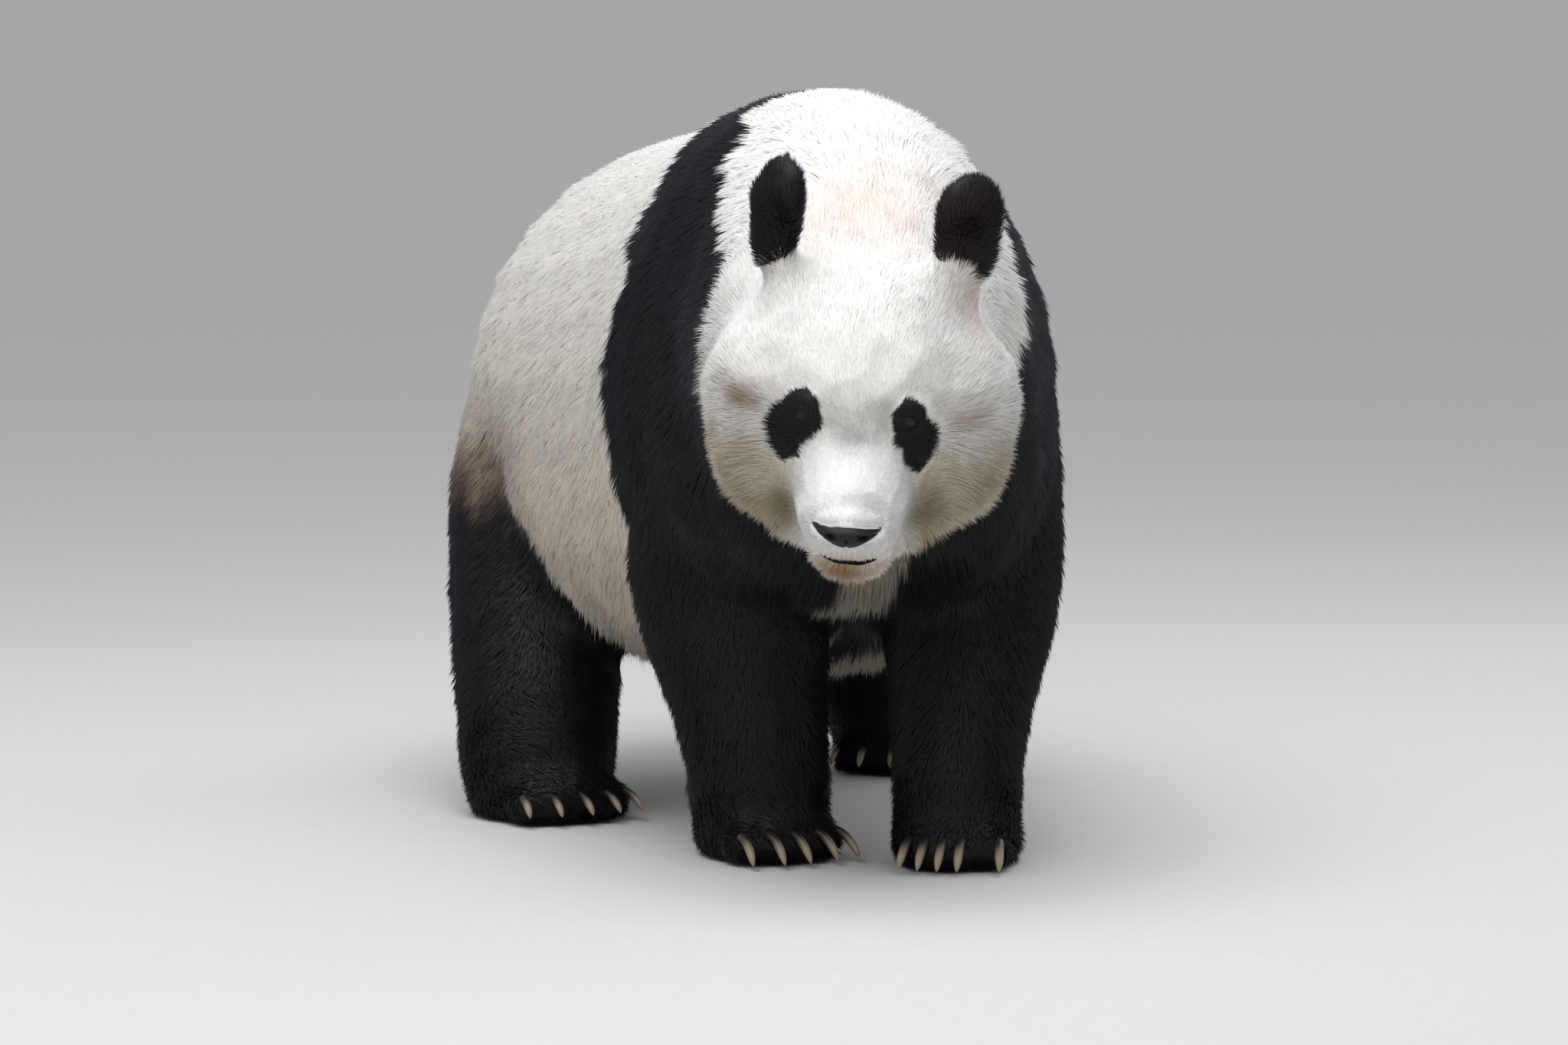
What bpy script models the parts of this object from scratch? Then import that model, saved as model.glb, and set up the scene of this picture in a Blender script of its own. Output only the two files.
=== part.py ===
"""Giant panda, standing: a still, life-size model divided into its named parts.

Metres, +Z up. The panda faces -Y and its left side is +X. Lengths along the body are given in the
stance frame, whose origin lies on the floor below the withers; the last step moves every part so
that the origin is under the middle of the animal. All outlines reach to the tips of the coat.
"""

import math
from collections import namedtuple

import bmesh
import bpy
from mathutils import Matrix, Vector

# ---------------------------------------------------------------- driving dimensions
GAP = 0.0004  # clearance between neighbouring parts
VOXEL = 0.009  # grid on which the flesh is fused
SMOOTHING_PASSES = 9
FLESH_TRIANGLES = 3224
RING_POINTS = 32
SHARP_ANGLE = math.radians(38)
FAR = 3.0  # size of the block below the floor

LEFT, RIGHT = 1, -1
SIDES = ((LEFT, "left"), (RIGHT, "right"))

# A cross-section: its centre, half width, and reach over (up or back) and under (down or front).
Station = namedtuple("Station", "x y z half_width over under")

TRUNK = (
    Station(0.0, -0.205, 0.470, 0.130, 0.205, 0.145),
    Station(0.0, -0.160, 0.470, 0.168, 0.268, 0.180),
    Station(0.0, -0.090, 0.465, 0.202, 0.308, 0.195),
    Station(0.0, 0.000, 0.450, 0.228, 0.338, 0.190),
    Station(0.0, 0.120, 0.445, 0.240, 0.340, 0.238),
    Station(0.0, 0.260, 0.430, 0.252, 0.328, 0.262),
    Station(0.0, 0.420, 0.420, 0.266, 0.323, 0.262),
    Station(0.0, 0.570, 0.412, 0.274, 0.320, 0.250),
    Station(0.0, 0.710, 0.410, 0.270, 0.310, 0.220),
    Station(0.0, 0.820, 0.415, 0.248, 0.285, 0.182),
    Station(0.0, 0.895, 0.425, 0.205, 0.232, 0.145),
    Station(0.0, 0.938, 0.430, 0.140, 0.160, 0.105),
    Station(0.0, 0.950, 0.430, 0.070, 0.090, 0.055),
)

BELLY_FULLNESS = 2.6  # 2 gives an elliptical belly, more a squarer one

NECK = (
    Station(-0.055, -0.300, 0.500, 0.120, 0.140, 0.110),
    Station(-0.040, -0.230, 0.505, 0.152, 0.190, 0.150),
    Station(-0.018, -0.150, 0.510, 0.176, 0.238, 0.175),
    Station(0.000, -0.060, 0.510, 0.188, 0.270, 0.190),
    Station(0.000, 0.030, 0.500, 0.190, 0.285, 0.190),
)

TAIL = Vector((0.0, 0.964, 0.480))
TAIL_SIZE = (0.046, 0.038, 0.080)
TAIL_TURN = math.radians(14)
TAIL_SET = 0.006  # the parting lies this far ahead of the tail's middle

# Head, in its own frame: origin amid the skull, -Y towards the nose, +Z towards the crown.
HEAD_PLACE = Vector((-0.055, -0.335, 0.489))
HEAD_YAW = math.radians(-16.0)
HEAD_PITCH = math.radians(21.5)
HEAD_ROLL = math.radians(3.5)
EYE = Vector((0.052, -0.104, 0.030))
EYE_RADIUS = 0.0105
EYE_SHOWS = 0.0045  # how far the ball stands out of the coat round it
NOSE = Vector((0.0, -0.176, -0.043))
NOSE_SIZE = (0.0345, 0.0190, 0.0175)
NOSE_SHOWS = 0.008
FACE_POINTS = 12
EAR = {LEFT: Vector((0.095, 0.040, 0.168)), RIGHT: Vector((-0.091, 0.040, 0.175))}
EAR_SIZE = (0.041, 0.022, 0.048)
EAR_BASE = (0.037, 0.021, 0.050)
EAR_RISE = Vector((0, 0, 0.017))  # from the ear's middle up to its cup's, and down to its base's
EAR_ROOT = (0.088, 0.036, 0.128)  # where the ear meets the crown
EAR_LEAN = {LEFT: math.radians(-2), RIGHT: math.radians(-18)}  # tilt outward
EAR_OPEN = {LEFT: math.radians(20), RIGHT: math.radians(56)}  # turn of the cup from straight ahead

FORE_PAW = {LEFT: Vector((0.098, -0.098, 0.0)), RIGHT: Vector((-0.084, -0.004, 0.0))}
HIND_PAW = {LEFT: Vector((0.235, 0.740, 0.0)), RIGHT: Vector((-0.250, 0.375, 0.0))}
TOE_IN = {"fore": math.radians(28), "hind": math.radians(20)}
PAW_SIZE = {"fore": (0.0695, 0.082, 0.052), "hind": (0.075, 0.096, 0.052)}
CLAW_LENGTH = {"fore": 0.036, "hind": 0.030}
CLAW_THICK = {"fore": 0.0052, "hind": 0.0046}
CLAW_SUNK, CLAW_RISE, CLAW_CURVE = 0.013, 0.009, 20.0
CLAW_TAPER = ((0.0, 1.0), (0.60, 0.90), (1.0, 0.30))
CLAW_POINTS = 5
# Where each toe stands round its paw, in degrees outward, from the inner toe to the outer.
TOE_ANGLES = {
    ("fore", LEFT): (-16, -6, 4, 14, 36), ("fore", RIGHT): (-20, -4, 13, 28, 46),
    ("hind", LEFT): (-34, -17, 0, 17, 34), ("hind", RIGHT): (-34, -17, 0, 17, 34),
}
TOE_TURN = 0.4  # share of its angle that a toe points outward

# Legs: height, distance out from the line root to paw, share of the way to the paw, half width,
# reach to the back and to the front.
FORE_LEG = (
    (0.560, -0.010, 0.00, 0.070, 0.110, 0.110),
    (0.480, 0.000, 0.02, 0.092, 0.125, 0.125),
    (0.390, 0.003, 0.12, 0.104, 0.122, 0.122),
    (0.300, 0.006, 0.32, 0.105, 0.112, 0.106),
    (0.230, 0.006, 0.52, 0.096, 0.098, 0.092),
    (0.165, 0.003, 0.72, 0.080, 0.084, 0.080),
    (0.100, 0.001, 0.90, 0.073, 0.075, 0.073),
    (0.040, 0.000, 1.00, 0.070, 0.070, 0.066),
)
HIND_LEG = (
    (0.500, -0.022, 0.00, 0.100, 0.150, 0.160),
    (0.420, -0.002, 0.03, 0.108, 0.165, 0.170),
    (0.330, 0.015, 0.18, 0.106, 0.160, 0.165),
    (0.240, 0.015, 0.42, 0.097, 0.128, 0.130),
    (0.160, 0.010, 0.68, 0.092, 0.100, 0.102),
    (0.090, 0.004, 0.88, 0.087, 0.086, 0.088),
    (0.040, 0.001, 0.96, 0.084, 0.080, 0.084),
)
FORE_ROOT = {LEFT: Vector((0.145, 0.055, 0.5)), RIGHT: Vector((0.112, 0.055, 0.5))}
HIND_ROOT = {LEFT: Vector((0.162, 0.715, 0.5)), RIGHT: Vector((0.162, 0.715, 0.5))}
GIRTH = {("fore", LEFT): 0.93, ("fore", RIGHT): 1.03, ("hind", LEFT): 1.0, ("hind", RIGHT): 1.0}

# The parting surface round each leg, wider than the free leg: same columns as the legs.
FORE_SLEEVE = (
    (0.640, 0.034, 0.00, 0.020, 0.030, 0.030),
    (0.610, 0.036, 0.00, 0.065, 0.085, 0.080),
    (0.520, 0.046, 0.03, 0.094, 0.130, 0.124),
    (0.420, 0.042, 0.10, 0.100, 0.142, 0.138),
    (0.340, 0.028, 0.26, 0.112, 0.138, 0.146),
    (0.280, 0.011, 0.40, 0.118, 0.138, 0.150),
    (0.200, 0.016, 0.65, 0.118, 0.140, 0.150),
    (0.085, 0.018, 0.95, 0.112, 0.140, 0.150),
)
HIND_SLEEVE = (
    (0.600, 0.038, 0.00, 0.020, 0.030, 0.030),
    (0.570, 0.043, 0.00, 0.080, 0.095, 0.095),
    (0.470, 0.048, 0.03, 0.118, 0.165, 0.165),
    (0.360, 0.044, 0.14, 0.130, 0.188, 0.190),
    (0.250, 0.030, 0.40, 0.130, 0.175, 0.180),
    (0.160, 0.018, 0.68, 0.132, 0.165, 0.180),
    (0.090, 0.008, 0.90, 0.135, 0.165, 0.180),
)
SLEEVE_POINTS = 12
HEAD_PLATE = Vector((-0.035, -0.235, 0.52)), Vector((0.276, 0.961, 0.0))
NECK_PLATE = Vector((0.0, -0.10, 0.555)), Vector((0.0, 0.906, -0.423))
EAR_AXIS = Vector((0.45, 0.12, 0.86))
EAR_PLATE = 0.13
JOINT_HEIGHT = {"fore": 0.265, "hind": 0.255}  # elbow and knee
PLATE = 0.5

COLOURS = {
    "white_fur": ((0.80, 0.77, 0.70), 0.9),
    "black_fur": ((0.018, 0.018, 0.022), 0.85),
    "nose_skin": ((0.015, 0.013, 0.014), 0.45),
    "eye_dark": ((0.020, 0.012, 0.008), 0.08),
    "claw_horn": ((0.42, 0.32, 0.20), 0.4),
}


# ---------------------------------------------------------------- building tools
def clear_scene():
    """Removes every object, so that the file starts empty."""
    for obj in list(bpy.data.objects):
        bpy.data.objects.remove(obj)


def material(name):
    """The named finish as a Principled material, made once."""
    found = bpy.data.materials.get(name)
    if found:
        return found
    colour, roughness = COLOURS[name]
    made = bpy.data.materials.new(name)
    made.use_nodes = True
    shader = made.node_tree.nodes["Principled BSDF"]
    shader.inputs["Base Color"].default_value = (*colour, 1.0)
    shader.inputs["Roughness"].default_value = roughness
    made.diffuse_color = (*colour, 1.0)
    return made


def new_object(name, mesh):
    """Links a mesh to the scene as an object."""
    obj = bpy.data.objects.new(name, mesh)
    bpy.context.scene.collection.objects.link(obj)
    return obj


def finished(obj, name, finish):
    """Names a finished part, gives it its material and shades its round faces smooth."""
    obj.name = name
    obj.data.name = name
    obj.data.materials.clear()
    obj.data.materials.append(material(finish))
    obj.data.polygons.foreach_set("use_smooth", [True] * len(obj.data.polygons))
    obj.data.set_sharp_from_angle(angle=SHARP_ANGLE)
    return obj


def mesh_from(bm, name):
    """Turns a bmesh into a mesh and frees it."""
    bm.normal_update()
    bmesh.ops.recalc_face_normals(bm, faces=bm.faces)
    mesh = bpy.data.meshes.new(name)
    bm.to_mesh(mesh)
    bm.free()
    return mesh


def ring_point(angle, station, side, over, fullness):
    """The offset of one point of a section from its centre; its under half may be fuller."""
    across, along, reach = math.cos(angle), math.sin(angle), station.over
    if along < 0:
        across = math.copysign(abs(across) ** (2 / fullness), across)
        along = -(abs(along) ** (2 / fullness))
        reach = station.under
    return side * across * station.half_width + over * along * reach


def loft(name, stations, matrix=None, points=RING_POINTS, grow=0.0, fullness=2.0):
    """A closed tube through elliptical sections, each square to the path of their centres."""
    bm = bmesh.new()
    rows = [s._replace(half_width=s.half_width + grow, over=s.over + grow, under=s.under + grow)
            for s in stations]
    centres = [Vector(s[:3]) for s in rows]
    rings = []
    for i, row in enumerate(rows):
        tangent = (centres[min(i + 1, len(rows) - 1)] - centres[max(i - 1, 0)]).normalized()
        side = (Vector((1, 0, 0)) - tangent * tangent.x).normalized()
        over = side.cross(tangent)
        end = tangent * (grow if i == len(rows) - 1 else -grow if i == 0 else 0.0)
        rings.append([
            bm.verts.new(centres[i] + end + ring_point(2 * math.pi * k / points, row, side, over, fullness))
            for k in range(points)
        ])
    for a, b in zip(rings, rings[1:]):
        for k in range(points):
            after = (k + 1) % points
            bm.faces.new((a[k], a[after], b[after]))
            bm.faces.new((a[k], b[after], b[k]))
    bm.faces.new(rings[0][::-1])
    bm.faces.new(rings[-1])
    bm.transform(matrix or Matrix.Identity(4))
    return new_object(name, mesh_from(bm, name))


def ball(name, centre, radii, matrix=None, segments=24, turn=None):
    """An ellipsoid, turned about its own centre and then placed by the matrix."""
    bm = bmesh.new()
    bmesh.ops.create_uvsphere(bm, u_segments=segments, v_segments=segments // 2, radius=1.0)
    local = Matrix.Translation(centre) @ (turn or Matrix.Identity(4)) @ Matrix.Diagonal((*radii, 1.0))
    bm.transform((matrix or Matrix.Identity(4)) @ local)
    return new_object(name, mesh_from(bm, name))


def block(name, centre, size, normal=(0, 0, 1)):
    """A box cutter whose third side runs along the normal."""
    bm = bmesh.new()
    bmesh.ops.create_cube(bm, size=1.0)
    bm.transform(Matrix.Diagonal((*size, 1.0)))
    bm.transform(Vector(normal).to_track_quat("Z", "Y").to_matrix().to_4x4())
    bm.transform(Matrix.Translation(centre))
    return new_object(name, mesh_from(bm, name))


def joined(name, objects):
    """One object holding the meshes of several, which it replaces."""
    bm = bmesh.new()
    for obj in objects:
        bm.from_mesh(obj.data)
        bpy.data.objects.remove(obj)
    mesh = bpy.data.meshes.new(name)
    bm.to_mesh(mesh)
    bm.free()
    return new_object(name, mesh)


def copied(obj, name):
    """A second object with the same shape."""
    return new_object(name, obj.data.copy())


def baked(obj):
    """Applies the object's modifiers to its mesh."""
    graph = bpy.context.evaluated_depsgraph_get()
    mesh = bpy.data.meshes.new_from_object(obj.evaluated_get(graph), depsgraph=graph)
    obj.modifiers.clear()
    obj.data = mesh
    return obj


def cut(obj, cutter, operation="DIFFERENCE"):
    """Cuts the object with a cutter, or keeps what lies in it, and removes the cutter."""
    boolean = obj.modifiers.new("cut", "BOOLEAN")
    boolean.operation = operation
    boolean.object = cutter
    boolean.solver = "EXACT"
    baked(obj)
    bpy.data.objects.remove(cutter)
    return obj


def parted(obj, centre, normal, size):
    """The object parted in two by a thin square plate: (ahead of the normal, behind it)."""
    cut(obj, block("plate", centre, (size, size, GAP), normal))
    pieces = loose_parts(obj)
    pieces.sort(key=lambda piece: len(piece.data.vertices))
    ahead = [p for p in pieces if (middle(p) - Vector(centre)).dot(Vector(normal)) > 0]
    behind = [p for p in pieces if p not in ahead]
    return joined("ahead", ahead), joined("behind", behind)


def loose_parts(obj):
    """The separate closed bodies of a mesh, each as its own object."""
    bm = bmesh.new()
    bm.from_mesh(obj.data)
    bpy.data.objects.remove(obj)
    unseen = dict.fromkeys(bm.verts)
    made = []
    while unseen:
        stack = [unseen.popitem()[0]]
        group = dict.fromkeys(stack)
        while stack:
            for edge in stack.pop().link_edges:
                for vert in edge.verts:
                    if vert in unseen:
                        del unseen[vert]
                        group[vert] = None
                        stack.append(vert)
        part = bmesh.new()
        copies = {v: part.verts.new(v.co) for v in bm.verts if v in group}
        for face in bm.faces:
            if face.verts[0] in group:
                part.faces.new([copies[v] for v in face.verts])
        mesh = bpy.data.meshes.new("part")
        part.normal_update()
        part.to_mesh(mesh)
        part.free()
        made.append(new_object("part", mesh))
    bm.free()
    return made


def limits(objects):
    """The lowest and highest corner of the objects' common box."""
    points = [v.co for obj in objects for v in obj.data.vertices]
    low = Vector([min(p[i] for p in points) for i in range(3)])
    high = Vector([max(p[i] for p in points) for i in range(3)])
    return low, high


def middle(obj):
    """The centre of the object's box."""
    low, high = limits([obj])
    return (low + high) / 2


def mirrored(point, side):
    """The point on the given side of the middle plane."""
    return Vector((point[0] * side, point[1], point[2]))


def between(a, b, share):
    """The value that share of the way from a to b."""
    return a + (b - a) * share


# ---------------------------------------------------------------- the head
def head_matrix():
    """Places the head's own frame in the stance frame."""
    turn = Matrix.Rotation(HEAD_YAW, 4, "Z") @ Matrix.Rotation(HEAD_PITCH, 4, "X")
    return Matrix.Translation(HEAD_PLACE) @ turn @ Matrix.Rotation(HEAD_ROLL, 4, "Y")


def ear_turn(side):
    """The ear's tilt outward and its cup's turn forward."""
    lean, turn = EAR_LEAN[side] * side, EAR_OPEN[side] * side
    return Matrix.Rotation(lean, 4, "Y") @ Matrix.Rotation(turn, 4, "Z")


def head_flesh():
    """Cranium, cheeks, muzzle, chin and ears."""
    place = head_matrix()
    muzzle = (
        Station(0, -0.194, -0.062, 0.024, 0.022, 0.020),
        Station(0, -0.187, -0.060, 0.042, 0.036, 0.030),
        Station(0, -0.168, -0.056, 0.051, 0.046, 0.038),
        Station(0, -0.135, -0.046, 0.056, 0.052, 0.048),
        Station(0, -0.070, -0.030, 0.066, 0.066, 0.060),
    )
    flesh = [
        ball("cranium", (0, 0.015, 0.022), (0.132, 0.138, 0.113), place),
        ball("occiput", (0, 0.085, 0.000), (0.125, 0.110, 0.112), place),
        ball("brow", (0, -0.070, 0.036), (0.078, 0.056, 0.056), place),
        ball("jaw", (0, -0.045, -0.064), (0.111, 0.092, 0.068), place),
        ball("chin", (0.002, -0.130, -0.095), (0.048, 0.044, 0.035), place),
        loft("muzzle", muzzle, place),
    ]
    for side, name in SIDES:
        flesh += [
            ball(f"cheekbone_{name}", (0.072 * side, 0.000, 0.004), (0.086, 0.098, 0.088), place),
            ball(f"cheek_{name}", (0.074 * side, -0.022, -0.040), (0.076, 0.080, 0.072), place),
            ball(f"ear_{name}", EAR[side] + EAR_RISE, EAR_SIZE, place, turn=ear_turn(side)),
            ball(f"ear_base_{name}", EAR[side] - EAR_RISE, EAR_BASE, place, turn=ear_turn(side)),
        ]
    return flesh


# ---------------------------------------------------------------- the legs
def leg_path(kind, side, rows, girth=1.0):
    """Sections down a leg from its root to above its paw."""
    roots, paws = (FORE_ROOT, FORE_PAW) if kind == "fore" else (HIND_ROOT, HIND_PAW)
    root, paw = roots[side], paws[side]
    return [
        Station(side * (between(root.x, abs(paw.x), share) + out), between(root.y, paw.y, share), z,
                width * girth, back, front)
        for z, out, share, width, back, front in rows
    ]


def paw_matrix(kind, side):
    """Places a paw's own frame, -Y towards its toes, in the stance frame."""
    place = (FORE_PAW if kind == "fore" else HIND_PAW)[side]
    return Matrix.Translation(place) @ Matrix.Rotation(-TOE_IN[kind] * side, 4, "Z")


def toe_places(kind, side):
    """Centre and heading of each toe, in the paw's frame."""
    width, length, _ = PAW_SIZE[kind]
    for degrees in TOE_ANGLES[kind, side]:
        angle = math.radians(degrees) * side
        centre = Vector((math.sin(angle) * width * 1.42, -math.cos(angle) * length * 0.80, 0.022))
        yield centre, angle * TOE_TURN


def paw_flesh(kind, side):
    """A paw with five toes in an arc; its sole is cut level afterwards."""
    matrix = paw_matrix(kind, side)
    flesh = [ball("palm", (0, 0, 0.026), PAW_SIZE[kind], matrix)]
    for centre, _ in toe_places(kind, side):
        flesh.append(ball("toe", centre, (0.0175, 0.027, 0.024), matrix, 16))
    return flesh


def claw(kind, side, centre, heading, grow=0.0):
    """One curved claw, its root sunk in the toe."""
    thick = CLAW_THICK[kind]
    matrix = paw_matrix(kind, side) @ Matrix.Translation(centre) @ Matrix.Rotation(heading, 4, "Z")
    rows = []
    for share, width in CLAW_TAPER:
        run = share * CLAW_LENGTH[kind]
        drop = CLAW_CURVE * run * run
        rows.append(Station(0, -CLAW_SUNK - run * 0.9, CLAW_RISE - drop, thick * width * 0.8,
                            thick * width, thick * width))
    return loft("claw", rows, matrix, CLAW_POINTS, grow)


def claws(grow=0.0):
    """Every claw with its name."""
    for kind in ("fore", "hind"):
        for side, name in SIDES:
            for k, (centre, heading) in enumerate(toe_places(kind, side)):
                yield claw(kind, side, centre, heading, grow), f"claw_{kind}_{name}_{k + 1}"


# ---------------------------------------------------------------- the whole body
def flesh():
    """All of the soft body, before it is fused."""
    pieces = [loft("trunk", TRUNK, fullness=BELLY_FULLNESS), loft("neck", NECK)] + head_flesh()
    pieces.append(ball("tail", TAIL, TAIL_SIZE, turn=Matrix.Rotation(TAIL_TURN, 4, "X")))
    for side, _ in SIDES:
        for kind, rows in (("fore", FORE_LEG), ("hind", HIND_LEG)):
            pieces.append(loft("leg", leg_path(kind, side, rows, GIRTH[kind, side])))
            pieces += paw_flesh(kind, side)
    return pieces


def fused(pieces):
    """One smooth closed skin round all the pieces."""
    body = joined("body", pieces)
    remesh = body.modifiers.new("fuse", "REMESH")
    remesh.mode = "VOXEL"
    remesh.voxel_size = VOXEL
    smooth = body.modifiers.new("smooth", "SMOOTH")
    smooth.factor = 0.5
    smooth.iterations = SMOOTHING_PASSES
    baked(body)
    thin = body.modifiers.new("thin", "DECIMATE")
    thin.ratio = FLESH_TRIANGLES / (2 * len(body.data.polygons))
    return baked(body)


def seat(body, x, z):
    """The point and outward normal of the face's surface ahead of a place in the head's frame."""
    place = head_matrix()
    _, point, normal, _ = body.ray_cast(place @ Vector((x, -FAR, z)), place.to_3x3() @ Vector((0, 1, 0)))
    return point, normal


def face_pieces(body):
    """Eyes and nose, each set in its socket in the body."""
    made = []
    for side, name in SIDES:
        point, normal = seat(body, EYE.x * side, EYE.z)
        centre = point - normal * (EYE_RADIUS - EYE_SHOWS)
        made.append((centre, [EYE_RADIUS] * 3, Matrix.Identity(4), f"eye_{name}", "eye_dark"))
    point, _ = seat(body, NOSE.x, NOSE.z)
    turn = head_matrix().to_3x3()
    centre = point + turn @ Vector((0, NOSE_SIZE[1] - NOSE_SHOWS, 0))
    made.append((centre, NOSE_SIZE, turn.to_4x4(), "nose", "nose_skin"))
    for centre, size, turned, name, finish in made:
        cut(body, ball("socket", centre, [r + GAP for r in size], turn=turned, segments=FACE_POINTS))
        finished(ball(name, centre, size, turn=turned, segments=FACE_POINTS), name, finish)


def part_legs(body):
    """Takes the four legs off the body and parts each at elbow or knee and at the wrist or heel."""
    for kind, rows in (("fore", FORE_SLEEVE), ("hind", HIND_SLEEVE)):
        for side, name in SIDES:
            path = leg_path(kind, side, rows)
            leg = cut(copied(body, "leg"), loft("sleeve", path, points=SLEEVE_POINTS), "INTERSECT")
            cut(body, loft("sleeve", path, points=SLEEVE_POINTS, grow=GAP))
            low, high = limits([leg])
            centre = (side * HIND_PAW[LEFT].x / 2, (low.y + high.y) / 2, JOINT_HEIGHT[kind])
            upper, lower = parted(leg, centre, (0, 0, 1), FAR)
            finished(upper, f"upper_{kind}_leg_{name}", "black_fur")
            finished(lower, f"lower_{kind}_leg_{name}", "black_fur")


def part_paws(body):
    """Names the four paws left below the legs and gives back the rest of the body."""
    pieces = loose_parts(body)
    pieces.sort(key=lambda piece: len(piece.data.vertices))
    core = pieces.pop()
    for kind, places in (("fore", FORE_PAW), ("hind", HIND_PAW)):
        for side, name in SIDES:
            paw = min(pieces, key=lambda piece: (middle(piece) - places[side]).length)
            pieces.remove(paw)
            finished(paw, f"{kind}_paw_{name}", "black_fur")
    return core


def part_core(core):
    """Parts tail, trunk, neck, head and ears."""
    tail, core = parted(core, (TAIL.x, TAIL.y - TAIL_SET, TAIL.z), (0, 1, 0), PLATE)
    finished(tail, "tail", "white_fur")
    trunk, core = parted(core, *NECK_PLATE, PLATE + 0.1)
    finished(trunk, "trunk", "white_fur")
    neck, core = parted(core, *HEAD_PLATE, PLATE)
    finished(neck, "neck", "white_fur")
    place = head_matrix()
    for side, name in SIDES:
        root = place @ mirrored(EAR_ROOT, side)
        direction = place.to_3x3() @ mirrored(EAR_AXIS, side)
        ear, core = parted(core, root, direction, EAR_PLATE)
        finished(ear, f"ear_{name}", "black_fur")
    finished(core, "head", "white_fur")


def stood_on_middle():
    """Moves everything so that the origin is the middle of the box's bottom; returns the shift."""
    low, high = limits(bpy.data.objects)
    shift = Vector((-(low.x + high.x) / 2, -(low.y + high.y) / 2, -low.z))
    for obj in bpy.data.objects:
        obj.data.transform(Matrix.Translation(shift))
    return shift


def main():
    """Builds the panda."""
    clear_scene()
    body = fused(flesh())
    cut(body, block("floor", (0, 0, -FAR / 2), (FAR, FAR, FAR)))
    face_pieces(body)
    cut(body, joined("sockets", [socket for socket, _ in claws(GAP)]))
    for made, name in claws():
        finished(made, name, "claw_horn")
    part_legs(body)
    part_core(part_paws(body))
    return stood_on_middle()


main()
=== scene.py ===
"""Giant panda: one skin, its coat, eyes, lids, nose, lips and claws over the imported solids.

Metres, +Z up. The panda faces -Y and its left side is +X, as in the solids. Places come from the
boxes of the solids; sizes that belong to a coat, a nose or an eye stand in the classes below.
"""

import logging
import math
from dataclasses import dataclass, fields
from enum import Enum

import bmesh
import bpy
import numpy as np
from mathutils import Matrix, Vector
from mathutils.bvhtree import BVHTree


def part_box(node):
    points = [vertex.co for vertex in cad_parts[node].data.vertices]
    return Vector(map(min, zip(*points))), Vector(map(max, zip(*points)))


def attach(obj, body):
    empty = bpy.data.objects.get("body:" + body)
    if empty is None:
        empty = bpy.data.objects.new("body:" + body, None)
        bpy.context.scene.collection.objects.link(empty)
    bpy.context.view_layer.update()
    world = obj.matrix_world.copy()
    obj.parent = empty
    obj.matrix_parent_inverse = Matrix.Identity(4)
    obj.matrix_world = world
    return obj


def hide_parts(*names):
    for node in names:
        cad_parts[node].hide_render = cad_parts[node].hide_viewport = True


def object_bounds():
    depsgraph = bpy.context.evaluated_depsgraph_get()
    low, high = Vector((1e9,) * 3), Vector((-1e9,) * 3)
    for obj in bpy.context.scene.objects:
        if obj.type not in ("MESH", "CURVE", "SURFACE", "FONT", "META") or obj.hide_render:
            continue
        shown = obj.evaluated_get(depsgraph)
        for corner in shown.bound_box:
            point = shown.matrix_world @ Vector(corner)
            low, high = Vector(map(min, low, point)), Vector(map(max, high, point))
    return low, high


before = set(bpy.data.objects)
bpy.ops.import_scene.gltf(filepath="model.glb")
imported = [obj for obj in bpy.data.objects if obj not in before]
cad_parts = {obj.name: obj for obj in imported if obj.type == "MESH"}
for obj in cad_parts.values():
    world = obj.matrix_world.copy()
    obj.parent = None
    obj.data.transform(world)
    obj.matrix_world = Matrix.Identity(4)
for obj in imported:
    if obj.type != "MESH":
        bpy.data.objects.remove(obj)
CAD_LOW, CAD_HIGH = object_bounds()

logging.basicConfig(level=logging.INFO, format="%(message)s")
log = logging.getLogger("panda")

SEED = 11
SIDES = {"left": 1.0, "right": -1.0}
TOES = range(1, 6)


# ------------------------------------------------------------------ numbers and vectors
def linear(code: str) -> np.ndarray:
    """An sRGB hex colour in linear light."""
    srgb = np.array([int(code[i:i + 2], 16) / 255 for i in (1, 3, 5)])
    return np.where(srgb <= 0.04045, srgb / 12.92, ((srgb + 0.055) / 1.055) ** 2.4)


def unit(rows: np.ndarray) -> np.ndarray:
    """Rows scaled to length one."""
    return rows / np.maximum(np.linalg.norm(rows, axis=-1, keepdims=True), 1e-9)


def ramp(value: np.ndarray, low: float, high: float) -> np.ndarray:
    """A smooth step from 0 at low to 1 at high."""
    t = np.clip((value - low) / (high - low), 0.0, 1.0)
    return t * t * (3 - 2 * t)


def dots(a: np.ndarray, b: np.ndarray) -> np.ndarray:
    """The dot product of each row of a with the same row of b, or with the one vector b."""
    return (a * b).sum(-1)


def tangent(vectors: np.ndarray, normals: np.ndarray) -> np.ndarray:
    """The part of each vector that lies in the surface, at length one."""
    return unit(vectors - dots(vectors, normals)[:, None] * normals)


def waves(points: np.ndarray, length: float, seed: int, count: int = 10) -> np.ndarray:
    """Smooth noise of about unit spread.

    Args:
        points: Where to read it, one row each.
        length: Its wavelength in metres.
        seed: Which noise it is.
        count: How many waves are added.

    Returns:
        One value for each point.
    """
    rng = np.random.default_rng(seed)
    turns = unit(rng.normal(size=(count, 3))) * rng.uniform(0.6, 1.5, (count, 1)) * 2 * math.pi / length
    return np.sin(points @ turns.T + rng.uniform(0, 2 * math.pi, count)).sum(1) * math.sqrt(2 / count)


def circle(count: int) -> np.ndarray:
    """Angles once round, evenly spaced."""
    return np.linspace(0, 2 * math.pi, count, endpoint=False)


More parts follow.
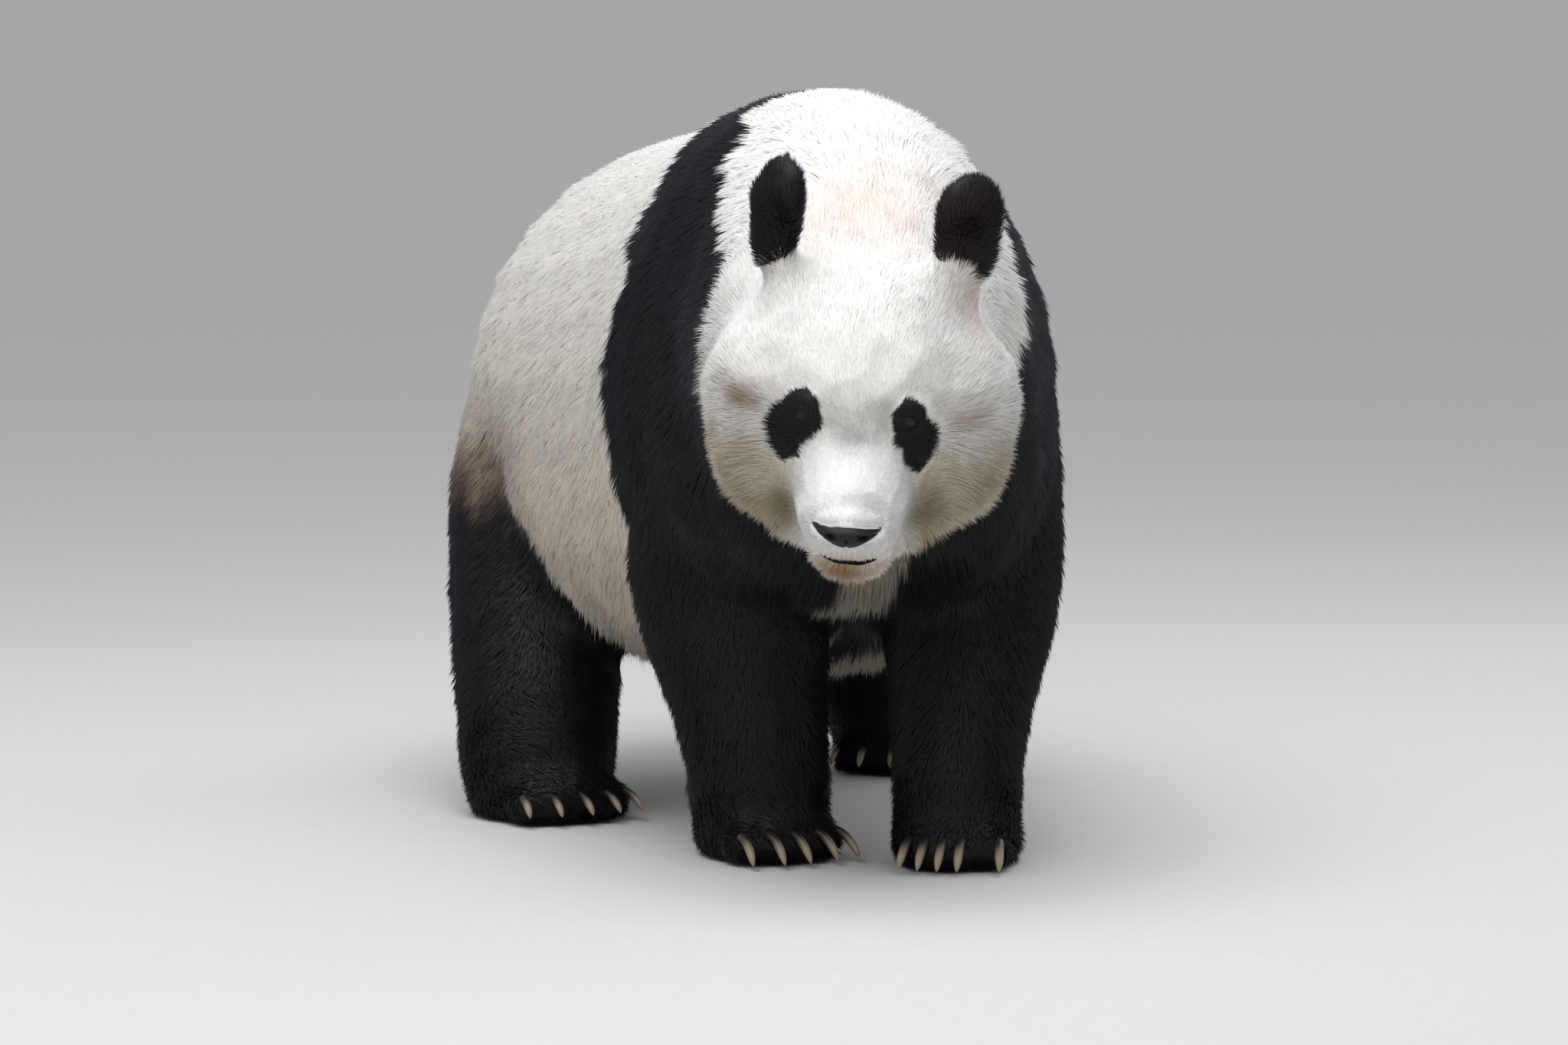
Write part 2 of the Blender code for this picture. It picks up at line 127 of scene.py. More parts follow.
def claw_rings(node: str) -> list[np.ndarray]:
    """The points of a solid claw's three rings.

    Args:
        node: The claw's name.

    Returns:
        Its rings from the root to the tip.
    """
    points = np.unique(np.round(read_points(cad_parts[node].data), 6), axis=0)
    axis = np.linalg.svd(points - points.mean(0))[2][0]
    rings = np.array_split(points[np.argsort((points - points.mean(0)) @ axis)], 3)
    size = [np.linalg.norm(ring - ring.mean(0), axis=1).mean() for ring in rings]
    return rings if size[0] > size[2] else rings[::-1]


def box_middle(node: str) -> np.ndarray:
    """The middle of a solid's box."""
    low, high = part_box(node)
    return np.array((low + high) / 2)


# ------------------------------------------------------------------ landmarks from the solids
class Landmarks:
    """The places on the animal that its markings and the lie of its coat are measured from."""

    NOSE_FALL = math.radians(41.7)  # how far the nose lies below the level line ahead of the eyes
    WITHERS_BACK = 0.2035  # from the front of the trunk to the withers
    HIP_BACK = 0.065  # from the front of an upper hind leg to where its black starts

    def __init__(self) -> None:
        """Reads the boxes of the solids."""
        self.eyes = {name: box_middle(f"eye_{name}") for name in SIDES}
        self.nose = box_middle("nose")
        self.face = (self.eyes["left"] + self.eyes["right"]) / 2
        across = unit(self.eyes["left"] - self.eyes["right"])
        drop = self.nose - self.face
        drop = unit(drop - (drop @ across) * across)
        rise = np.cross(drop, across)
        ahead = drop * math.cos(self.NOSE_FALL) + rise * math.sin(self.NOSE_FALL)
        self.face_axes = np.array((across, ahead, np.cross(ahead, across)))
        trunk_low, trunk_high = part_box("trunk")
        self.withers = np.array((0.0, trunk_low.y + self.WITHERS_BACK, trunk_high.z))
        self.ears = {name: [np.array(c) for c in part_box(f"ear_{name}")] for name in SIDES}
        self.hips = {name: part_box(f"upper_hind_leg_{name}")[0].y + self.HIP_BACK for name in SIDES}

    def to_face(self, points: np.ndarray) -> np.ndarray:
        """Points as (across to the left, ahead, up) from between the eyes."""
        return (points - self.face) @ self.face_axes.T

    def from_face(self, points: np.ndarray) -> np.ndarray:
        """Points given as (across, ahead, up) from between the eyes, in the frame of the solids."""
        return self.face + np.asarray(points, float) @ self.face_axes

# ------------------------------------------------------------------ materials
class Material:
    """A procedural material made node by node."""

    def __init__(self, name: str) -> None:
        """Makes an empty material.

        Args:
            name: What the real surface is.
        """
        self.data = bpy.data.materials.new(name)
        self.data.use_nodes = True
        self.tree = self.data.node_tree
        self.tree.nodes.clear()
        self.place = self.node("ShaderNodeTexCoord").outputs["Object"]

    def node(self, kind: str, settings: dict | None = None, **inputs) -> bpy.types.Node:
        """Adds a node.

        Args:
            kind: Its type.
            settings: Its own properties by name.
            **inputs: Its sockets by name with _ for a space; a socket is linked, a value is set.

        Returns:
            The node.
        """
        made = self.tree.nodes.new(kind)
        for name, value in (settings or {}).items():
            setattr(made, name, value)
        for name, value in inputs.items():
            key = int(name[1:]) if name[1:].isdigit() else name.replace("_", " ")
            socket = made.inputs[key]
            if isinstance(value, bpy.types.NodeSocket):
                self.tree.links.new(value, socket)
            else:
                socket.default_value = value
        return made

    def noise(self, size: float, **inputs) -> bpy.types.NodeSocket:
        """Noise whose grains are as large as given, in metres."""
        return self.node("ShaderNodeTexNoise", Vector=self.place, Scale=1 / size, **inputs).outputs["Fac"]

    def spread(self, value: bpy.types.NodeSocket, low: float, high: float, to_low: float,
               to_high: float) -> bpy.types.NodeSocket:
        """A value stretched from one range to another."""
        return self.node("ShaderNodeMapRange", Value=value, From_Min=low, From_Max=high, To_Min=to_low,
                         To_Max=to_high).outputs[0]

    def mixed(self, share: bpy.types.NodeSocket, code: str, other: str) -> bpy.types.NodeSocket:
        """Two colours mixed by a share of the second."""
        return self.node("ShaderNodeMix", {"data_type": "RGBA"}, Factor=share, _6=rgba(code),
                         _7=rgba(other)).outputs[2]

    def painted(self, attribute: str, *tones: bpy.types.NodeSocket) -> bpy.types.NodeSocket:
        """A colour that the mesh carries, made lighter or darker by tones.

        Args:
            attribute: The name of the colour.
            *tones: What it is multiplied by.

        Returns:
            The colour.
        """
        colour = self.node("ShaderNodeAttribute", {"attribute_name": attribute}).outputs["Color"]
        for tone in tones:
            scaled = self.node("ShaderNodeVectorMath", {"operation": "SCALE"}, _0=colour, Scale=tone)
            colour = scaled.outputs[0]
        return colour

    def bump(self, height: bpy.types.NodeSocket, distance: float, strength: float) -> bpy.types.NodeSocket:
        """The surface's slope where a height stands out of it."""
        return self.node("ShaderNodeBump", Height=height, Distance=distance, Strength=strength).outputs[0]

    def finish(self, **inputs) -> bpy.types.Material:
        """Puts a shader on the surface.

        Args:
            **inputs: The shader's sockets, as for a node.

        Returns:
            The finished material.
        """
        shader = self.node("ShaderNodeBsdfPrincipled", **inputs)
        self.node("ShaderNodeOutputMaterial", Surface=shader.outputs[0])
        return self.data


def rgba(code: str) -> tuple[float, ...]:
    """An sRGB hex colour as a linear socket value."""
    return (*linear(code), 1.0)


@dataclass(frozen=True)
class Fur:
    """Guard hairs: each strand has its own tone, and light slides along it."""

    name: str
    roughness: float
    sheen: float
    sheen_tint: str
    specular: float
    patch_size: float = 0.035
    strand_size: float = 0.0016

    def build(self) -> bpy.types.Material:
        """The coat's colours from its markings, broken up at the size of locks and of strands.

        Returns:
            The material.
        """
        m = Material(self.name)
        # Dust and wear gather in soft patches as wide as a lock or two.
        dust = m.spread(m.noise(self.patch_size, Detail=3.0, Roughness=0.6), 0.3, 0.75, 0.93, 1.05)
        # Neighbouring hairs differ a little in tone.
        tone = m.spread(m.noise(self.strand_size, Detail=1.0), 0.25, 0.75, 0.88, 1.08)
        return m.finish(Base_Color=m.painted("coat_colour", dust, tone), Roughness=self.roughness,
                        Specular_IOR_Level=self.specular, Sheen_Weight=self.sheen, Sheen_Roughness=0.35,
                        Sheen_Tint=rgba(self.sheen_tint))


@dataclass(frozen=True)
class UnderCoat:
    """The skin with its close underfur: the coat's colours in shade, with a fine lying nap."""

    nap: float = 0.0035
    depth: float = 0.0012

    def build(self) -> bpy.types.Material:
        """Darkened coat colours over a bump as long as the shortest hairs.

        Returns:
            The material.
        """
        m = Material("underfur")
        nap = m.noise(self.nap, Detail=4.0)
        colour = m.painted("coat_colour", m.spread(nap, 0.3, 0.7, 0.88, 1.0))
        return m.finish(Base_Color=colour, Roughness=0.9, Normal=m.bump(nap, self.depth, 0.8),
                        Specular_IOR_Level=0.2)


@dataclass(frozen=True)
class BareSkin:
    """Bare black skin of nose, lips and lids: pebbled like fine leather and faintly moist."""

    name: str
    colour: str
    light: str
    pebble: float
    roughness: float
    specular: float
    coat: float

    def build(self) -> bpy.types.Material:
        """Dark leather with a lighter bloom on its pebbles and a damp film.

        Returns:
            The material.
        """
        m = Material(self.name)
        cells = m.node("ShaderNodeTexVoronoi", {"feature": "DISTANCE_TO_EDGE"}, Vector=m.place,
                       Scale=1 / self.pebble)
        pebbles = m.spread(cells.outputs["Distance"], 0.0, 0.28, 0.0, 1.0)
        grain = m.noise(2.5 * self.pebble, Detail=5.0)
        gloss = m.spread(grain, 0.3, 0.7, self.roughness - 0.08, self.roughness + 0.12)
        return m.finish(Base_Color=m.mixed(grain, self.colour, self.light), Roughness=gloss,
                        Normal=m.bump(pebbles, self.pebble * 0.12, 0.6), Specular_IOR_Level=self.specular,
                        Coat_Weight=self.coat, Coat_Roughness=0.25)


@dataclass(frozen=True)
class Horn:
    """Claw horn: beige at the worn tip, brown at the root, with fine grain along its length."""

    grain: float = 0.0011

    def build(self) -> bpy.types.Material:
        """Layered keratin, semi-gloss, with faint streaks.

        Returns:
            The material.
        """
        m = Material("claw_keratin")
        streaks = m.noise(self.grain, Detail=4.0)
        colour = m.painted("horn_colour", m.spread(streaks, 0.3, 0.7, 0.78, 1.1))
        return m.finish(Base_Color=colour, Roughness=0.38, Normal=m.bump(streaks, 0.0003, 0.5))


@dataclass(frozen=True)
class EyeSurface:
    """A dark brown eye under its clear wet cornea."""

    fibre: float = 0.0009

    def build(self) -> bpy.types.Material:
        """Iris and pupil colours with fine fibres below a mirror-smooth film of tears.

        Returns:
            The material.
        """
        m = Material("eye_under_cornea")
        fibres = m.spread(m.noise(self.fibre, Detail=3.0), 0.3, 0.7, 0.6, 1.5)
        return m.finish(Base_Color=m.painted("eye_colour", fibres), Roughness=0.25, Specular_IOR_Level=0.3,
                        Coat_Weight=0.45, Coat_Roughness=0.03, Coat_IOR=1.34)


@dataclass(frozen=True)
class StudioFloor:
    """Matt pale board."""

    colour: str = "#C9C6C1"
    light: str = "#CFCCC7"
    speck: float = 0.02

    def build(self) -> bpy.types.Material:
        """Nearly even, with the faint unevenness of painted board."""
        m = Material("painted_board")
        return m.finish(Base_Color=m.mixed(m.noise(self.speck), self.colour, self.light), Roughness=0.85)


# ------------------------------------------------------------------ meshes
def placed(name: str, data: bpy.types.ID) -> bpy.types.Object:
    """A new object for a mesh, a lamp or a camera.

    Args:
        name: Its name.
        data: What it shows.

    Returns:
        The object, linked to the scene.
    """
    obj = bpy.data.objects.new(name, data)
    bpy.context.scene.collection.objects.link(obj)
    return obj


def mesh_object(name: str, points: np.ndarray, faces: np.ndarray) -> bpy.types.Object:
    """A smooth object from points and equal-sided faces.

    Args:
        name: Its name.
        points: One row for each vertex.
        faces: One row of vertex numbers for each face.

    Returns:
        The linked object.
    """
    mesh = bpy.data.meshes.new(name)
    mesh.vertices.add(len(points))
    mesh.vertices.foreach_set("co", np.asarray(points, np.float32).ravel())
    mesh.loops.add(faces.size)
    mesh.loops.foreach_set("vertex_index", np.asarray(faces, np.int32).ravel())
    mesh.polygons.add(len(faces))
    mesh.polygons.foreach_set("loop_start", np.arange(0, faces.size, faces.shape[1], dtype=np.int32))
    mesh.update(calc_edges=True)
    mesh.polygons.foreach_set("use_smooth", np.ones(len(faces), bool))
    return placed(name, mesh)


def read_points(mesh: bpy.types.Mesh) -> np.ndarray:
    """The mesh's vertices.

    Args:
        mesh: The mesh.

    Returns:
        One row for each vertex.
    """
    flat = np.zeros(len(mesh.vertices) * 3, np.float32)
    mesh.vertices.foreach_get("co", flat)
    return flat.reshape(-1, 3).astype(float)


def read_triangles(mesh: bpy.types.Mesh) -> np.ndarray:
    """The mesh's triangles.

    Args:
        mesh: The mesh.

    Returns:
        One row of vertex numbers for each triangle.
    """
    mesh.calc_loop_triangles()
    flat = np.zeros(len(mesh.loop_triangles) * 3, np.int32)
    mesh.loop_triangles.foreach_get("vertices", flat)
    return flat.reshape(-1, 3)


def write_colour(mesh: bpy.types.Mesh, name: str, colours: np.ndarray) -> None:
    """Stores a linear colour for each vertex.

    Args:
        mesh: The mesh.
        name: The name that a material reads the colour by.
        colours: One row for each vertex.
    """
    attribute = mesh.color_attributes.new(name, "FLOAT_COLOR", "POINT")
    full = np.ones((len(colours), 4), np.float32)
    full[:, :3] = colours
    attribute.data.foreach_set("color", full.ravel())


def tube(rings: np.ndarray) -> tuple[np.ndarray, np.ndarray]:
    """Quads round and along a stack of closed rings.

    Args:
        rings: An array of rings by points by 3.

    Returns:
        Points and faces.
    """
    rows, count = rings.shape[:2]
    i, k = np.meshgrid(np.arange(rows - 1), np.arange(count), indexing="ij")
    after = (k + 1) % count
    faces = np.stack((i * count + k, i * count + after, (i + 1) * count + after, (i + 1) * count + k), -1)
    return rings.reshape(-1, 3), faces.reshape(-1, 4)


def settled(obj: bpy.types.Object, material: bpy.types.Material, slot: str, *nodes: str) -> None:
    """Finishes a piece and reports it.

    Args:
        obj: The piece.
        material: Its material.
        slot: The finish in the record; not used.
        *nodes: The solids that it stands for.
    """
    obj.data.materials.clear()
    obj.data.materials.append(material)
    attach(obj, "root")
    if nodes:
        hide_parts(*nodes)
    log.info("%s: %d faces", obj.name, len(obj.data.polygons))


# ------------------------------------------------------------------ how the coat grows
@dataclass(frozen=True)
class Growth:
    """How the coat grows in one zone: lengths in metres, lift in degrees, tufts to the square metre."""

    depth: float
    length: float
    width: float
    lift: float
    density: float


class Zone(Enum):
    """The zones of the coat, from close hair on the muzzle to the long belly fringe."""

    MUZZLE = Growth(0.0028, 0.0068, 0.0010, 14.0, 950e3)
    CHIN = Growth(0.0060, 0.0125, 0.0011, 24.0, 460e3)
    FACE = Growth(0.0040, 0.0100, 0.0011, 13.0, 700e3)
    CHEEK = Growth(0.0085, 0.0220, 0.0015, 22.0, 325e3)
    CROWN = Growth(0.0066, 0.0180, 0.0017, 14.0, 300e3)
    EAR = Growth(0.0055, 0.0115, 0.0011, 30.0, 520e3)
    NECK = Growth(0.0088, 0.0290, 0.0022, 14.0, 156e3)
    BACK = Growth(0.0080, 0.0290, 0.0022, 12.0, 140e3)
    FLANK = Growth(0.0092, 0.0340, 0.0021, 14.0, 135e3)
    BELLY = Growth(0.0120, 0.0420, 0.0024, 18.0, 128e3)
    UPPER_LEG = Growth(0.0088, 0.0260, 0.0017, 18.0, 160e3)
    LOWER_LEG = Growth(0.0076, 0.0210, 0.0016, 21.0, 180e3)
    PAW = Growth(0.0058, 0.0145, 0.0013, 26.0, 235e3)
    TAIL = Growth(0.0175, 0.0420, 0.0021, 20.0, 160e3)


class Group(Enum):
    """Solids that share a growth, with the name of the coat pieces over them."""

    HEAD = "head"
    EARS = "ears"
    NECK = "neck"
    TRUNK = "trunk"
    TAIL = "tail"
    FORE_UPPER = "upper_fore_leg"
    FORE_LOWER = "lower_fore_leg"
    FORE_PAW = "fore_paw"
    HIND_UPPER = "upper_hind_leg"
    HIND_LOWER = "lower_hind_leg"
    HIND_PAW = "hind_paw"


FLESH = {
    Group.HEAD: ("head", "nose", "eye_left", "eye_right"), Group.EARS: ("ear_left", "ear_right"),
    Group.NECK: ("neck",), Group.TRUNK: ("trunk",), Group.TAIL: ("tail",),
    **{g: (f"{g.value}_left", f"{g.value}_right") for g in list(Group)[5:]},
}


class Skin:
    """One skin under the whole coat, inside the solids by the coat's depth."""

    VOXEL = 0.0068
    OVERLAP = 0.0006  # neighbouring solids are grown by this to close their parting
    SMOOTHING = 6
    # Where faces are split: the middle in the face's measures, the reach, and how far ahead it starts.
    FINER = (((0.0, -0.06, -0.02), 0.235, -0.40), ((0.0, 0.03, -0.05), 0.135, -0.075))
    BLUR = 8  # passes that soften the borders between zones
    FILLING, REACH = 30, 12  # rounds that fill a hollow, and the passes of each
    LIP_PRESS, LIP_WIDTH = 0.0035, 0.0045
    PAD_SEAT = 0.008  # how deep the nose pad is let in
    EAR_CUP = 0.010
    SOLE = 0.0012  # the lowest that the skin reaches
    GROOVE, SWELL = 0.0050, 0.0022  # of the toes

    def __init__(self, marks: Landmarks) -> None:
        """Fuses the solids, refines the head, reads the zones and sinks the surface.

        Args:
            marks: The landmarks of the solids.
        """
        self.marks = marks
        self.obj = self.fused()
        self.refine()
        self.read()
        self.shares = self.group_shares()
        self.zones = self.zone_shares()
        self.growth = {f.name: self.blend(f.name) for f in fields(Growth)}
        self.sink()
        self.flow = self.lie()

    def fused(self) -> bpy.types.Object:
        """One closed smooth surface round all the flesh.

        Returns:
            The object that becomes the skin.
        """
        whole = bmesh.new()
        for names in FLESH.values():
            for name in names:
                part = bmesh.new()
                part.from_mesh(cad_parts[name].data)
                bmesh.ops.remove_doubles(part, verts=part.verts, dist=1e-5)
                part.normal_update()
                for vert in part.verts:
                    vert.co += vert.normal * self.OVERLAP
                grown = bpy.data.meshes.new("grown")
                part.to_mesh(grown)
                part.free()
                whole.from_mesh(grown)
        mesh = bpy.data.meshes.new("skin")
        whole.to_mesh(mesh)
        whole.free()
        obj = placed("skin", mesh)
        remesh = obj.modifiers.new("fuse", "REMESH")
        remesh.mode, remesh.voxel_size = "VOXEL", self.VOXEL
        smooth = obj.modifiers.new("smooth", "SMOOTH")
        smooth.factor, smooth.iterations = 0.5, self.SMOOTHING
        graph = bpy.context.evaluated_depsgraph_get()
        obj.data = bpy.data.meshes.new_from_object(obj.evaluated_get(graph), depsgraph=graph)
        obj.modifiers.clear()
        return obj

    def refine(self) -> None:
        """Splits the head's faces once and those round eyes, nose and mouth once more."""
        for centre, reach, ahead in self.FINER:
            bm = bmesh.new()
            bm.from_mesh(self.obj.data)
            local = self.marks.to_face(np.array([v.co for v in bm.verts]))
            near = (np.linalg.norm(local - np.array(centre), axis=1) < reach) & (local[:, 1] > ahead)
            bm.edges.ensure_lookup_table()
            edges = [e for e in bm.edges if near[e.verts[0].index] and near[e.verts[1].index]]
            bmesh.ops.subdivide_edges(bm, edges=edges, cuts=1, use_grid_fill=True, smooth=0.7)
            bm.to_mesh(self.obj.data)
            bm.free()

    def read(self) -> None:
        """Reads points, triangles, edges and normals of the surface as arrays."""
        self.points = read_points(self.obj.data)
        self.triangles = read_triangles(self.obj.data)
        t = self.triangles
        pairs = np.concatenate((t[:, (0, 1)], t[:, (1, 2)], t[:, (2, 0)]))
        self.links = np.concatenate((pairs, pairs[:, ::-1]))
        self.count = np.bincount(self.links[:, 0], minlength=len(self.points))
        self.normals = self.vertex_normals()
        self.local = self.marks.to_face(self.points)

    def vertex_normals(self) -> np.ndarray:
        """Normals weighted by the area of the faces round each vertex.

        Returns:
            One row for each vertex.
        """
        a, b, c = (self.points[self.triangles[:, i]] for i in range(3))
        across = np.cross(b - a, c - a)
        total = np.zeros_like(self.points)
        for i in range(3):
            for axis in range(3):
                total[:, axis] += np.bincount(self.triangles[:, i], across[:, axis], len(self.points))
        return unit(total)

    def blurred(self, values: np.ndarray, passes: int) -> np.ndarray:
        """Values averaged with their neighbours.

        Args:
            values: One value or row for each vertex.
            passes: How many times.

        Returns:
            The averaged values.
        """
        rows = values.reshape(len(values), -1).astype(float)
        for _ in range(passes):
            spread = np.stack([np.bincount(self.links[:, 0], column[self.links[:, 1]], len(rows))
                               for column in rows.T], 1)
            rows = 0.4 * rows + 0.6 * spread / self.count[:, None]
        return rows.reshape(values.shape)

    def group_shares(self) -> dict[Group, np.ndarray]:
        """How far each vertex belongs to each group of solids, soft across their partings.

        Returns:
            A share for each vertex, by group.
        """
        points, faces, owner = [], [], []
        for group, names in FLESH.items():
            for name in names:
                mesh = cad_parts[name].data
                faces.append(read_triangles(mesh) + sum(map(len, points)))
                points.append(read_points(mesh))
                owner += [group] * len(faces[-1])
        tree = BVHTree.FromPolygons(np.concatenate(points).tolist(), np.concatenate(faces).tolist())
        near = [tree.find_nearest(p) for p in self.points.tolist()]
        self.owner = np.array([list(Group).index(owner[hit[2]]) for hit in near])
        reach = dots(np.array([hit[0] for hit in near]) - self.points, self.normals)
        self.below = self.blurred(np.clip(reach, -0.004, 0.016), 3)
        shares = {g: (self.owner == i).astype(float) for i, g in enumerate(Group)}
        return {g: self.blurred(s, self.BLUR) for g, s in shares.items()}

    def zone_shares(self) -> dict[Zone, np.ndarray]:
        """How far each vertex belongs to each zone of the coat.

        Returns:
            A share for each vertex, by zone.
        """
        across, ahead, up = np.abs(self.local[:, 0]), self.local[:, 1], self.local[:, 2]
        share, level = self.shares, self.normals[:, 2]
        head = share[Group.HEAD]
        muzzle = ramp(ahead, 0.0, 0.03) * ramp(across, 0.075, 0.05) * ramp(up, 0.02, -0.03)
        face = ramp(ahead, -0.055, -0.01) * (1 - muzzle)
        cheek = ramp(across, 0.065, 0.1) * ramp(up, 0.035, -0.03)
        cheek = cheek + ramp(up, -0.1, -0.12) * ramp(ahead, 0.05, 0.03)
        chin = ramp(up, Mouth.LEVEL - 0.002, Mouth.LEVEL - 0.006) * ramp(ahead, 0.02, 0.035)
        cheek = np.clip(cheek, 0, 1) * (1 - chin)
        face, muzzle = face * (1 - cheek) * (1 - chin), muzzle * (1 - 0.5 * cheek) * (1 - chin)
        crown = np.clip(1 - muzzle - face - cheek - chin, 0, 1)
        trunk = share[Group.TRUNK]
        belly = ramp(level, -0.25, -0.7)
        back = ramp(level, 0.35, 0.75)
        return {
            Zone.MUZZLE: head * muzzle, Zone.CHIN: head * chin, Zone.FACE: head * face,
            Zone.CHEEK: head * cheek, Zone.CROWN: head * crown, Zone.EAR: share[Group.EARS],
            Zone.NECK: share[Group.NECK],
            Zone.BACK: trunk * back, Zone.BELLY: trunk * belly, Zone.FLANK: trunk * (1 - back - belly),
            Zone.UPPER_LEG: share[Group.FORE_UPPER] + share[Group.HIND_UPPER],
            Zone.LOWER_LEG: share[Group.FORE_LOWER] + share[Group.HIND_LOWER],
            Zone.PAW: share[Group.FORE_PAW] + share[Group.HIND_PAW], Zone.TAIL: share[Group.TAIL],
        }

    def blend(self, name: str) -> np.ndarray:
        """One number of the growth at every vertex, mixed over the zones."""
        total = sum(self.zones.values())
        return sum(share * getattr(zone.value, name) for zone, share in self.zones.items()) / total

    def eye_distance(self, points: np.ndarray) -> np.ndarray:
        """How far each point is from the nearer eye's middle."""
        return np.minimum(*(np.linalg.norm(points - eye, axis=1) for eye in self.marks.eyes.values()))

    def sink(self) -> None:
        """Moves the surface in by the coat's depth, shallow round the eyes, and presses in the mouth."""
        depth = self.growth["depth"] * (0.12 + 0.88 * ramp(self.eye_distance(self.points), 0.012, 0.026))
        depth = depth - self.below * (1 - self.shares[Group.EARS])
        depth += self.LIP_PRESS * Mouth.near(self.local, self.LIP_WIDTH)
        depth += self.toes()
        depth += self.PAD_SEAT * ramp(Nose.away(self.local, (0.8, 1.8, 0.8)), 1.0, 0.7)
        # The ears are cupped towards the front.
        ahead = dots(self.normals, self.marks.face_axes[1])
        depth += self.EAR_CUP * self.shares[Group.EARS] ** 2 * ramp(ahead, 0.4, 0.95) * self.ear_middle()
        self.points -= self.normals * depth[:, None]
        self.points = self.blurred(self.points, 1)
        self.fill_creases()
        self.points[:, 2] = np.maximum(self.points[:, 2], self.SOLE)
        self.obj.data.vertices.foreach_set("co", self.points.astype(np.float32).ravel())
        self.obj.data.update()
        self.obj.data.polygons.foreach_set("use_smooth", np.ones(len(self.obj.data.polygons), bool))
        self.normals = self.vertex_normals()
        self.local = self.marks.to_face(self.points)

    def fill_creases(self) -> None:
        """Fills the hollows round the ears, where the ruff meets the crown, and round the tail."""
        share = self.shares
        behind = share[Group.HEAD] * ramp(self.local[:, 1], -0.045, -0.085)
        hollows = np.clip(behind + share[Group.NECK] + 4 * share[Group.HEAD] * share[Group.EARS], 0, 1)
        hollows = np.maximum(hollows, np.clip(6 * share[Group.TAIL] * share[Group.TRUNK], 0, 1))
        for _ in range(self.FILLING):
            self.normals = self.vertex_normals()
            rise = dots(self.blurred(self.points, self.REACH) - self.points, self.normals)
            self.points += self.normals * (hollows * np.maximum(rise, 0))[:, None]

    def toes(self) -> np.ndarray:
        """Grooves between the toes, and the swell of each toe behind its claw.

        Returns:
            How far each vertex is pressed in.
        """
        paws = self.shares[Group.FORE_PAW] + self.shares[Group.HIND_PAW]
        total = np.zeros(len(self.points))
        for kind in ("fore", "hind"):
            for side in SIDES:
                lines = [claw_rings(f"claw_{kind}_{side}_{k}")[0].mean(0) for k in TOES]
                middle = box_middle(f"{kind}_paw_{side}")
                for root in lines:
                    total -= self.SWELL * self.near_line(root, middle, 0.012, 0.8)
                for one, other in zip(lines, lines[1:]):
                    total += self.GROOVE * self.near_line((one + other) / 2, middle, 0.0055, 0.55)
        return total * paws

    def near_line(self, front: np.ndarray, middle: np.ndarray, width: float, length: float) -> np.ndarray:
        """One on a line that runs back and up from a paw's front, falling off to its sides.

        Args:
            front: Where the line starts.
            middle: The middle of the paw.
            width: How far off it falls to a third.
            length: How far the line runs, as a share of the way to the middle.

        Returns:
            One value for each vertex of the skin.
        """
        end = front + (middle - front) * length + np.array((0, 0, 0.030))
        start = front + (front - middle) * 0.3 - np.array((0, 0, 0.022))
        way = end - start
        along = np.clip((self.points - start) @ way / (way @ way), 0, 1)
        off = np.linalg.norm(self.points - start - along[:, None] * way, axis=1)
        return np.exp(-((off / width) ** 2)) * ramp(1 - along, 0.0, 0.4)

    def ear_middle(self) -> np.ndarray:
        """One in the middle of each ear, falling to nothing at its rim.

        Returns:
            One value for each vertex.
        """
        near = np.zeros(len(self.points))
        for low, high in self.marks.ears.values():
            half = (high - low) / 2
            off = np.linalg.norm((self.points - (low + half)) / half, axis=1)
            near = np.maximum(near, ramp(off, 0.95, 0.35))
        return near

    def lie(self) -> np.ndarray:
        """The way the coat lies at each vertex: away from the nose, back, and down.

        Returns:
            One direction for each vertex.
        """
        marks, share = self.marks, self.shares
        side = np.sign(self.points[:, 0])
        from_nose = self.points - marks.from_face((0.0, 0.105, -0.078))
        cheek = self.zones[Zone.CHEEK][:, None]
        head = unit(from_nose) + cheek * np.array((0, 0, -0.55))
        back = np.tile((0.0, 1.0, 0.0), (len(side), 1))
        back[:, 2] = -1.15 * ramp(np.abs(self.normals[:, 0]), 0.1, 0.75)
        leg = np.tile((0.0, 0.22, -1.0), (len(side), 1))
        toe = np.stack((-0.42 * side, np.full(len(side), -0.9), np.full(len(side), -0.35)), 1)
        tail = np.tile((0.0, 0.15, -1.0), (len(side), 1))
        total = share[Group.HEAD][:, None] * head
        total += (share[Group.NECK] + share[Group.TRUNK])[:, None] * back
        for group in (Group.FORE_UPPER, Group.FORE_LOWER, Group.HIND_UPPER, Group.HIND_LOWER):
            total += share[group][:, None] * leg
        total += (share[Group.FORE_PAW] + share[Group.HIND_PAW])[:, None] * toe
        total += share[Group.TAIL][:, None] * tail
        for name, sign in SIDES.items():
            low, high = marks.ears[name]
            root = (low + high) / 2 - np.array((0, 0, (high - low)[2] * 0.45))
            here = (share[Group.EARS] * (np.sign(self.local[:, 0]) == sign))[:, None]
            total += here * unit(self.points - root) * 1.3
        flow = tangent(total, self.normals)
        for _ in range(6):
            flow = tangent(self.blurred(flow, 2), self.normals)
        return flow


